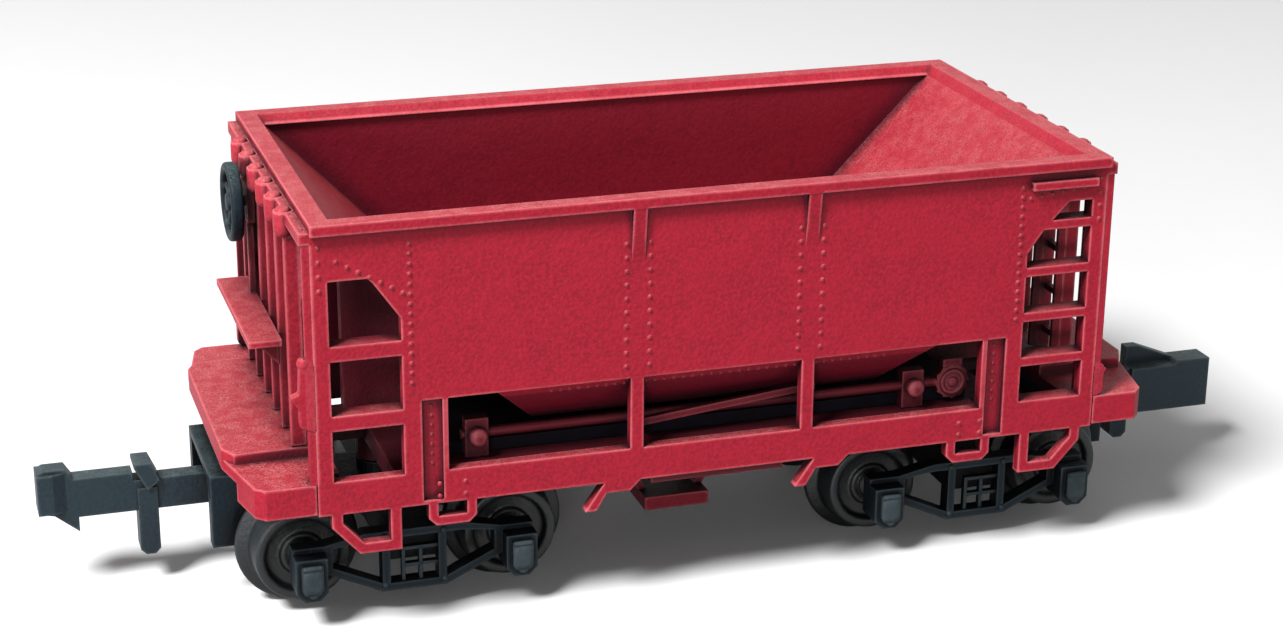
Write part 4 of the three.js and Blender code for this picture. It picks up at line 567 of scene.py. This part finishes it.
def brake_wheel():
    low, high = box_mm("brake_wheel")
    radius, half = (high.z - low.z) / 2, BRAKE_RIM_DEPTH / 2
    centre = (low + high) / 2
    centre.x = low.x + half
    inner, shaft_end = radius - BRAKE_RIM, high.x - centre.x
    along = (1, 0, 0)
    rim = [(inner, -half), (radius, -half), (radius, half), (inner, half)]
    hub = [(0, -half), (BRAKE_HUB_RADIUS, -half), (BRAKE_HUB_RADIUS, half), (0, half)]
    shaft = [(0, 0), (BRAKE_SHAFT_RADIUS, 0), (BRAKE_SHAFT_RADIUS, shaft_end), (0, shaft_end)]
    mesh = bmesh.new()
    turned(mesh, rounded(rim, BRAKE_RIM_CORNER, steps=4), centre, along)
    turned(mesh, rounded(hub, BRAKE_HUB_CORNER, closed=False), centre, along, closed=False, steps=32)
    turned(mesh, rounded(shaft, BRAKE_SHAFT_CORNER, closed=False), centre, along, closed=False, steps=24)
    for i in range(SPOKE_COUNT):
        angle = math.tau * i / SPOKE_COUNT + FIRST_SPOKE
        spoke(mesh, centre, angle, BRAKE_HUB_RADIUS * SPOKE_ROOT, radius - BRAKE_RIM / 2)
    piece = finished(mesh, "rounded_brake_wheel", blue_black, "brake_wheel")
    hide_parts("brake_wheel")
    return piece


print("brake wheel mm:", [round(v / MM, 2) for v in brake_wheel().dimensions])

# %% [markdown]
# ## Rivets
# The real car was riveted, and its model carries the rivets as tiny raised domes a quarter of a millimetre
# across. They run in lines: beside the ladders and at the corners, along the sloping panel edges, down both
# sides of each stake, under the crease, up the channels and in short rows on the sill. A bump map could
# fake them, but raised domes catch the light in every view.

# %% Lines of rivets on one side of the car
RIVET_RADIUS, RIVET_HEIGHT, RIVET_PITCH = 0.12, 0.075, 0.46
SLOPING_PITCH, CORNER_PITCH, SILL_PITCH = 0.55, 0.65, 0.6
STAKE_PITCH, CHANNEL_PITCH = RIVET_PITCH * 1.5, RIVET_PITCH * 1.1
CHANNEL_SIZE = 0.9

hopper_high = box_mm("hopper_body")[1]
RIM_TOP = hopper_high.z
SIDE_Y = hopper_high.y - 0.35
LIP_FOOT = RIM_TOP - 0.5
SHEET_FOOT = RIM_TOP - 8.7
CREASE = RIM_TOP - 8.6
SILL_FOOT = RIM_TOP - 13.8
LADDER_EDGE, LADDER_CORNER = 15.2, 18.45
LADDER_MARGIN = 0.42
STAKE_X, STAKE_FOOT, STAKE_MARGIN = 4.2, LIP_FOOT - 2.6, 0.56
BELLY_RUN, BELLY_DROP, BELLY_LINE, BELLY_END, BELLY_GAP = 2.3, 2.4, 0.45, 8.2, 0.5
CHANNEL_X, CHANNEL_SET_IN = 13.87, 0.3
CORNER_MARGIN = 0.38
SILL_RIVETS_X = (-13.6, -12.4, 12.1, 13.2)

LADDER_LINE = SHEET_FOOT + 0.9, LIP_FOOT - 0.75
STAKE_LINE = CREASE + 0.5, STAKE_FOOT + 0.9
CHANNEL_LINE = SILL_FOOT + 1.9, SHEET_FOOT - 0.4
CORNER_LINE = LIP_FOOT - 0.6, LIP_FOOT - 2.6
SILL_LINE = SILL_FOOT + 0.35, SILL_FOOT + 0.95
LEFT_SLOPE = (0.4 - LADDER_CORNER, LIP_FOOT - 1.3), (0.1 - LADDER_EDGE, LIP_FOOT - 3.0)
RIGHT_SLOPE = (LADDER_CORNER - 0.5, LIP_FOOT - 0.9), (LADDER_EDGE, LIP_FOOT - 1.3)
DOME_SHAPE = (1, -0.5), (1, 0.2), (0.66, 0.8), (0, 1)  # shares of the radius and of the height


def dome(mesh, place, normal, radius, height, sides=8):
    profile = [(radius * out, height * up) for out, up in DOME_SHAPE]
    turned(mesh, profile, place, normal, closed=False, steps=sides)


def rivet_line(mesh, start, end, normal, pitch=RIVET_PITCH, size=1.0):
    count = max(2, round((end - start).length / pitch) + 1)
    for i in range(count):
        dome(mesh, start.lerp(end, i / (count - 1)), normal, RIVET_RADIUS * size, RIVET_HEIGHT * size)
    return count


def side_rivets(mesh, turn):
    """One side's rivets; turn is 1 for the near side, and -1 gives the far side by half a turn about Z."""
    out = half_turn(turn, 0, -1, 0)

    def at(x, z, y=SIDE_Y):
        return half_turn(turn, x, -y, z)

    def upright(x, heights, y=SIDE_Y, **more):
        return rivet_line(mesh, at(x, heights[0], y), at(x, heights[1], y), out, **more)

    made = 0
    for end in (-1, 1):
        made += upright(end * (LADDER_EDGE - LADDER_MARGIN), LADDER_LINE)
        made += upright(end * (LADDER_CORNER + CORNER_MARGIN), CORNER_LINE, pitch=CORNER_PITCH)
        made += upright(end * CHANNEL_X, CHANNEL_LINE, SIDE_Y - CHANNEL_SET_IN, pitch=CHANNEL_PITCH,
                        size=CHANNEL_SIZE)
        for margin in (-STAKE_MARGIN, STAKE_MARGIN):
            made += upright(end * STAKE_X + margin, STAKE_LINE, pitch=STAKE_PITCH)
    for x in SILL_RIVETS_X:
        made += upright(x, SILL_LINE, pitch=SILL_PITCH)
    for start, end in (LEFT_SLOPE, RIGHT_SLOPE):
        made += rivet_line(mesh, at(*start), at(*end), out, pitch=SLOPING_PITCH)

    belly_y, belly_z = SIDE_Y - BELLY_LINE * BELLY_RUN / BELLY_DROP, CREASE - BELLY_LINE
    belly_normal = half_turn(turn, 0, -BELLY_DROP, -BELLY_RUN)
    inner, outer = STAKE_X - BELLY_GAP, STAKE_X + BELLY_GAP
    for first, last in ((-BELLY_END, -outer), (-inner, inner), (outer, BELLY_END)):
        made += rivet_line(mesh, at(first, belly_z, belly_y), at(last, belly_z, belly_y), belly_normal)
    return made


for name, turn in (("near_side_rivets", 1), ("far_side_rivets", -1)):
    mesh = bmesh.new()
    count = side_rivets(mesh, turn)
    finished(mesh, name, rivet_red, "car")
    print(name, count)

# %% [markdown]
# ## Ends of the hopper
# Under the end flange sits a row of round knobs, one over each post, and each post has a tapered web behind
# it. The outer face of a corner post carries a thin strip all the way up, and a web with a barb that points
# outwards: a tall one with a small ball on top at one corner, and a short one at the other. The knobs and
# balls are turned caps, and the strips and webs are outlines given a thickness.

# %% Measures of the end fittings
CORNER_X = hopper_high.x - 0.9
DECK_TOP = box_mm("left_end_deck")[1].z
LOW_DECK_TOP = DECK_TOP - 0.5
SUNK, PLATE_SUNK, KNOB_SUNK, POST_RISE, STRIP_INSET = 0.03, 0.05, 0.02, 0.1, 0.02

KNOB_RADIUS, KNOB_HEIGHT, KNOB_CROWN_SHARE, KNOB_CORNER, KNOB_PROUD = 0.46, 0.9, 0.55, 0.2, 0.45
POST_PITCH, POST_COUNT, POST_WIDTH, POST_WEB, POST_INNER_X = 2.35, 6, 0.35, 0.4, 19.05
POST_TAPER, POST_CORNER, UNDER_FLANGE = 0.7, 0.08, 0.4
BALL_RADIUS, BALL_SHOULDER, BALL_SHOULDER_HEIGHT, BALL_CORNER = 0.3, 0.75, 0.8, 0.3
BALL_HEIGHT = LIP_FOOT - 5.95
STRIP_REACH, STRIP_WIDTH = 0.38, 0.25
WEB_REACH, WEB_WIDTH, PLATE_CORNER = 0.72, 0.5, 0.1
TALL_WEB = dict(foot=DECK_TOP + 2.05, top=BALL_HEIGHT, reach=WEB_REACH, barb=0.4, barb_share=0.53)
SHORT_WEB = dict(foot=LOW_DECK_TOP - SUNK, top=DECK_TOP + 1.15, reach=WEB_REACH * 0.8, barb=0.15,
                 barb_share=0.85)
BARB_BELOW, BARB_ABOVE, FOOT_RISE, HEAD_REACH = 1.5, 0.35, 0.4, 0.9
print("ball at mm:", round(BALL_HEIGHT, 2), "deck at mm:", round(DECK_TOP, 2))

# %% [markdown]
# Each kind of fitting is a short function that adds to one mesh, so each end of the car gets a single piece.
# The two ends are each other turned half round, which is why the tall web changes sides with the end.

# %% Knobs, post webs, corner strips, webs and balls
def knob(mesh, x, y):
    crown = KNOB_RADIUS * KNOB_CROWN_SHARE
    profile = [(0, -crown), (crown, -crown), (KNOB_RADIUS, 0), (KNOB_RADIUS, KNOB_HEIGHT),
               (crown, KNOB_HEIGHT + crown), (0, KNOB_HEIGHT + crown)]
    foot = LIP_FOOT - KNOB_HEIGHT + KNOB_SUNK
    turned(mesh, rounded(profile, KNOB_CORNER, closed=False), (x, y, foot), (0, 0, 1), closed=False, steps=24)


def post_back(mesh, side, y):
    """A tapered web on the inner edge of an end post, from the deck up to the flange."""
    outer, inner = side * POST_INNER_X, side * (POST_INNER_X - POST_WEB)
    half, back_half = POST_WIDTH / 2, POST_WIDTH / 2 * POST_TAPER
    section = rounded([(outer, y - half), (outer, y + half), (inner, y + back_half), (inner, y - back_half)],
                      POST_CORNER)
    foot, top = DECK_TOP + POST_RISE, LIP_FOOT - UNDER_FLANGE
    prism(mesh, [[Vector((x, v, z)) for x, v in section] for z in (foot, top)])


def corner_ball(mesh, x, y, z):
    shoulder, shoulder_height = BALL_RADIUS * BALL_SHOULDER, BALL_RADIUS * BALL_SHOULDER_HEIGHT
    profile = [(0, -BALL_RADIUS), (shoulder, -shoulder_height), (BALL_RADIUS, 0), (shoulder, shoulder_height),
               (0, BALL_RADIUS)]
    turned(mesh, rounded(profile, BALL_CORNER, closed=False), (x, y, z), (0, 0, 1), closed=False, steps=20)


def upright_plate(mesh, side, y, width, outline):
    """A plate that stands on the outer face of a corner post, from an outline of (reach, height) pairs."""
    outline = rounded(outline, PLATE_CORNER)
    root = CORNER_X - PLATE_SUNK
    prism(mesh, [[Vector((side * (root + x), across, z)) for x, z in outline]
                 for across in (y - width / 2, y + width / 2)])


def corner_strip(mesh, side, y):
    foot, top = LOW_DECK_TOP - SUNK, LIP_FOOT - UNDER_FLANGE
    upright_plate(mesh, side, y, STRIP_WIDTH, [(0, foot), (STRIP_REACH, foot), (STRIP_REACH, top), (0, top)])


def corner_web(mesh, side, y, foot, top, reach, barb, barb_share):
    """A web with a barb that points outwards at a given share of its height."""
    tip = foot + (top - foot) * barb_share
    below, above = tip - barb * BARB_BELOW, tip + barb * BARB_ABOVE
    outline = [(0, foot), (reach, foot + reach * FOOT_RISE), (reach, below), (reach + barb, tip),
               (reach, above), (reach * HEAD_REACH, top), (0, top)]
    upright_plate(mesh, side, y, WEB_WIDTH, outline)


def end_fittings(mesh, side):
    for i in range(POST_COUNT):
        y = (i - (POST_COUNT - 1) / 2) * POST_PITCH
        knob(mesh, side * (CORNER_X + KNOB_PROUD), y)
        post_back(mesh, side, y)
    strip_y = SIDE_Y - STRIP_WIDTH / 2 - STRIP_INSET
    corner_strip(mesh, side, -strip_y)
    corner_strip(mesh, side, strip_y)
    tall_y = side * (SIDE_Y - WEB_WIDTH / 2)
    corner_web(mesh, side, tall_y, **TALL_WEB)
    corner_ball(mesh, side * (CORNER_X + WEB_REACH - BALL_RADIUS), tall_y, BALL_HEIGHT)
    corner_web(mesh, side, -tall_y, **SHORT_WEB)


for end, side in (("left", -1), ("right", 1)):
    mesh = bmesh.new()
    end_fittings(mesh, side)
    finished(mesh, end + "_end_fittings", rivet_red, "car")
    print(end, "end fittings ready")

# %% [markdown]
# ## Door gear
# A shaft along each side opens the hopper doors. It turns in two bearings, whose pins end in domed nuts,
# and a toothed ratchet with a pawl holds it. The solid's ratchet is a plain disc, so a ring of slanted
# teeth goes round it, and caps go over the pins.

# %% Domed nuts and ratchet teeth
GEAR_Y, GEAR_Z = 7.95, 9.08
RATCHET_X, RATCHET_RADIUS, RATCHET_TEETH, RATCHET_HALF = 12.3, 0.8, 12, 0.24
TOOTH_TOP, TOOTH_FOOT = 0.09, 0.01
TOOTH_OUTLINE = ((0, TOOTH_TOP), (0.12, TOOTH_TOP), (0.85, TOOTH_FOOT))  # share of a tooth, height
RATCHET_RING, RATCHET_HUB, RAISED_HALF, RAISED_CORNER = (0.46, 0.66), (0, 0.24), RATCHET_HALF * 1.5, 0.06
HUB_FACE_HALF = RATCHET_HALF * 1.2
NUT_RADIUS, NUT_CORNER, NUT_PROUD = 0.44, 0.1, 0.75
NUT_CROWN = NUT_RADIUS * 0.7
NUT_ROOT, NUT_SHOULDER, NUT_HEIGHT = 0.4, 0.14, 0.2
BEARINGS_X = (-11.5, 10.2)


def ratchet(mesh, centre):
    rim = []
    for i in range(RATCHET_TEETH):
        for share, height in TOOTH_OUTLINE:
            angle = math.tau * (i + share) / RATCHET_TEETH
            radius = RATCHET_RADIUS + height
            rim.append(Vector((radius * math.cos(angle), 0, radius * math.sin(angle))))
    faces = [[mesh.verts.new((centre + p + Vector((0, y, 0))) * MM) for p in rim]
             for y in (-RATCHET_HALF, RATCHET_HALF)]
    bridge(mesh, faces)
    for face, y in zip(faces, (-HUB_FACE_HALF, HUB_FACE_HALF)):
        hub = mesh.verts.new((centre + Vector((0, y, 0))) * MM)
        for i in range(len(face)):
            mesh.faces.new((face[i - 1], face[i], hub))
    for inner, outer in (RATCHET_RING, RATCHET_HUB):
        raised = [(inner, -RAISED_HALF), (outer, -RAISED_HALF), (outer, RAISED_HALF), (inner, RAISED_HALF)]
        ring = inner > 0
        turned(mesh, rounded(raised, RAISED_CORNER, closed=ring), centre, (0, 1, 0), closed=ring, steps=32)


def nut(mesh, x, turn):
    place = half_turn(turn, x, -GEAR_Y - NUT_PROUD, GEAR_Z)
    profile = [(NUT_RADIUS, -NUT_ROOT), (NUT_RADIUS, 0), (NUT_CROWN, NUT_SHOULDER), (0, NUT_HEIGHT)]
    turned(mesh, rounded(profile, NUT_CORNER, closed=False), place, (0, -turn, 0), closed=False, steps=20)


for name, turn in (("near_gear_fittings", 1), ("far_gear_fittings", -1)):
    mesh = bmesh.new()
    ratchet(mesh, half_turn(turn, RATCHET_X, -GEAR_Y, GEAR_Z))
    for x in BEARINGS_X:
        nut(mesh, x, turn)
    finished(mesh, name, gear_red_painted_shade, "car")
    print(name, "ready")

# %% [markdown]
# ## Ballast plate
# The steel plate that gives the car its weight was pressed from sheet, with its two long edges folded down.
# The solid is flat, so the folds are added as two strips whose upper corners are bent round.

# %% Folded edges of the ballast plate
FOLD_THICKNESS, FOLD_DROP, FOLD_RADIUS, FOLD_GAP = 0.14, 1.0, 0.12, 0.01


def folded_edge(name, side):
    low, high = box_mm("ballast_plate")
    outer = high.y * side
    inner = outer - side * FOLD_THICKNESS
    top, foot = low.z - FOLD_GAP, low.z - FOLD_DROP
    section = rounded([(inner, foot), (outer, foot), (outer, top), (inner, top)], FOLD_RADIUS)
    mesh = bmesh.new()
    prism(mesh, [[Vector((x, y, z)) for y, z in section] for x in (low.x, high.x)])
    return finished(mesh, name, rolled_steel, "car")


folds = [folded_edge("near_ballast_fold", -1), folded_edge("far_ballast_fold", 1)]
print("folds:", [fold.name for fold in folds])

# %% [markdown]
# ## Trucks
# The side frames show cast journal boxes with a hinged, slightly domed lid, and bolts that tie the frame's
# bars. Each lid is a rounded plate whose outline is a squared oval, drawn in rings that shrink towards its
# crown.

# %% Journal lids, hinges and frame bolts
TRUCK_X, AXLE_OFFSET = 14.35, 5.0
LID_WIDTH, LID_HEIGHT, LID_FACE, LID_MIDDLE, LID_SIDES = 0.98, 1.35, 8.3, 2.65, 24
LID_STEPS = ((1, -0.15), (1, 0.02), (0.9, 0.08), (0.55, 0.11))  # share of the outline, how far proud
HINGE_RADIUS, HINGE_HALF, HINGE_CORNER, HINGE_OFF = 0.14, LID_WIDTH * 0.45, 0.05, 0.02
BOLT_RADIUS, BOLT_HEIGHT, BOLT_X, BOLT_SIDES, FRAME_FACE = 0.17, 0.12, 1.42, 12, 7.3
FRAME_TOP, FRAME_FOOT = 4.35, 1.28
BOLT_ROWS = (FRAME_TOP - 0.25, FRAME_FOOT + 0.3)


def squared_oval(angle, width, height, power=0.5):
    c, s = math.cos(angle), math.sin(angle)
    return (width / 2 * math.copysign(abs(c) ** power, c), height / 2 * math.copysign(abs(s) ** power, s))


def journal_lid(mesh, x, side):
    rings = []
    for share, proud in LID_STEPS:
        outline = [squared_oval(math.tau * i / LID_SIDES, LID_WIDTH * share, LID_HEIGHT * share)
                   for i in range(LID_SIDES)]
        rings.append([mesh.verts.new(Vector((x + u, side * (LID_FACE + proud), LID_MIDDLE + w)) * MM)
                      for u, w in outline])
    bridge(mesh, rings)
    mesh.faces.new(rings[-1])
    hinge = [(0, -HINGE_HALF), (HINGE_RADIUS, -HINGE_HALF), (HINGE_RADIUS, HINGE_HALF), (0, HINGE_HALF)]
    place = (x, side * (LID_FACE - HINGE_OFF), LID_MIDDLE + LID_HEIGHT / 2 + HINGE_OFF)
    turned(mesh, rounded(hinge, HINGE_CORNER, closed=False), place, (1, 0, 0), closed=False, steps=16)


def frame_bolts(mesh, middle, side):
    for x in (middle - BOLT_X, middle + BOLT_X):
        for z in BOLT_ROWS:
            dome(mesh, (x, side * FRAME_FACE, z), (0, side, 0), BOLT_RADIUS, BOLT_HEIGHT, sides=BOLT_SIDES)


for end, along in (("left", -1), ("right", 1)):
    mesh = bmesh.new()
    for side in (-1, 1):
        for offset in (-AXLE_OFFSET, AXLE_OFFSET):
            journal_lid(mesh, along * TRUCK_X + offset, side)
        frame_bolts(mesh, along * TRUCK_X, side)
    finished(mesh, end + "_truck_fittings", blue_black, end + "_truck")
    print(end, "truck fittings ready")

# %% [markdown]
# ## The studio
# A model this small is photographed on a white sheet, under a round lamp that hangs high to the left. A
# weaker lamp stands low in front, so that the sides aren't flat black against the bright tops. The sheet is
# one pale plane, but it throws little light back up: a material can tell a ray that comes from another
# surface from one that comes from the camera, and here it answers the first with a dark tone. Under the car
# it stays deep.

# %% Floor, backdrop and lamps
FLOOR_REACH = 3.0
SHEET, SHEET_FIBRE, SHEET_BOUNCED = ((tone, tone, tone, 1) for tone in (0.93, 0.88, 0.07))
SHEET_ROUGHNESS, FIBRES_PER_METRE, FIBRE_SHARE = 0.9, 400.0, 0.3
LAMP_SIZE = 0.12
AIM = Vector((0, 0, 0.01))
OVERHEAD_PLACE, OVERHEAD_WATTS = (-0.227, -0.147, 0.323), 2.55
FRONT_PLACE, FRONT_WATTS = (-0.28, -0.55, 0.06), 1.3
SKY_FOR_LIGHT, SKY_SEEN = 0.2, 1.0


def ray_kind(tree, kind):
    return add_node(tree, "ShaderNodeLightPath", {}, output=kind)


def pale_floor():
    mesh = bpy.data.meshes.new("floor")
    corners = [(x * FLOOR_REACH, y * FLOOR_REACH, 0) for x, y in ((-1, -1), (1, -1), (1, 1), (-1, 1))]
    mesh.from_pydata(corners, [], [(0, 1, 2, 3)])
    floor = bpy.data.objects.new("floor", mesh)
    bpy.context.scene.collection.objects.link(floor)
    material = bpy.data.materials.new("white_sheet")
    material.use_nodes = True
    tree = material.node_tree
    shader = tree.nodes["Principled BSDF"]
    place = add_node(tree, "ShaderNodeTexCoord", {}, output=3)
    fibres = noise(tree, place, FIBRES_PER_METRE, detail=2.0)
    tone = blend_colours(tree, fibres * FIBRE_SHARE, SHEET, SHEET_FIBRE)
    tone = blend_colours(tree, ray_kind(tree, "Is Diffuse Ray"), tone, SHEET_BOUNCED)
    plug(tree, shader, Base_Color=tone, Roughness=SHEET_ROUGHNESS)
    mesh.materials.append(material)
    return floor


def lamp(name, place, watts):
    light = bpy.data.lights.new(name, "AREA")
    light.shape = "DISK"
    light.size = LAMP_SIZE
    light.energy = watts
    lamp_object = bpy.data.objects.new(name, light)
    lamp_object.location = place
    lamp_object.rotation_euler = (AIM - Vector(place)).to_track_quat("-Z", "Y").to_euler()
    bpy.context.scene.collection.objects.link(lamp_object)
    return lamp_object


def studio_sky():
    world = bpy.data.worlds.new("studio_white")
    world.use_nodes = True
    sky = world.node_tree
    seen = ray_kind(sky, "Is Camera Ray") + ray_kind(sky, "Is Glossy Ray")
    seen = seen + ray_kind(sky, "Is Transmission Ray")
    levels = {"Value": seen, "To Min": SKY_FOR_LIGHT, "To Max": SKY_SEEN}
    strength = add_node(sky, "ShaderNodeMapRange", levels)
    plug(sky, sky.nodes["Background"], Color=(1, 1, 1, 1), Strength=strength)
    return world


pale_floor()
lamps = [lamp("overhead_lamp", OVERHEAD_PLACE, OVERHEAD_WATTS), lamp("front_lamp", FRONT_PLACE, FRONT_WATTS)]
bpy.context.scene.world = studio_sky()
bpy.context.scene.view_settings.view_transform = "Standard"
print("lamps:", [lit.name for lit in lamps])

# %% [markdown]
# ## Sizes
# The dressed car has to be exactly as large as its solids.
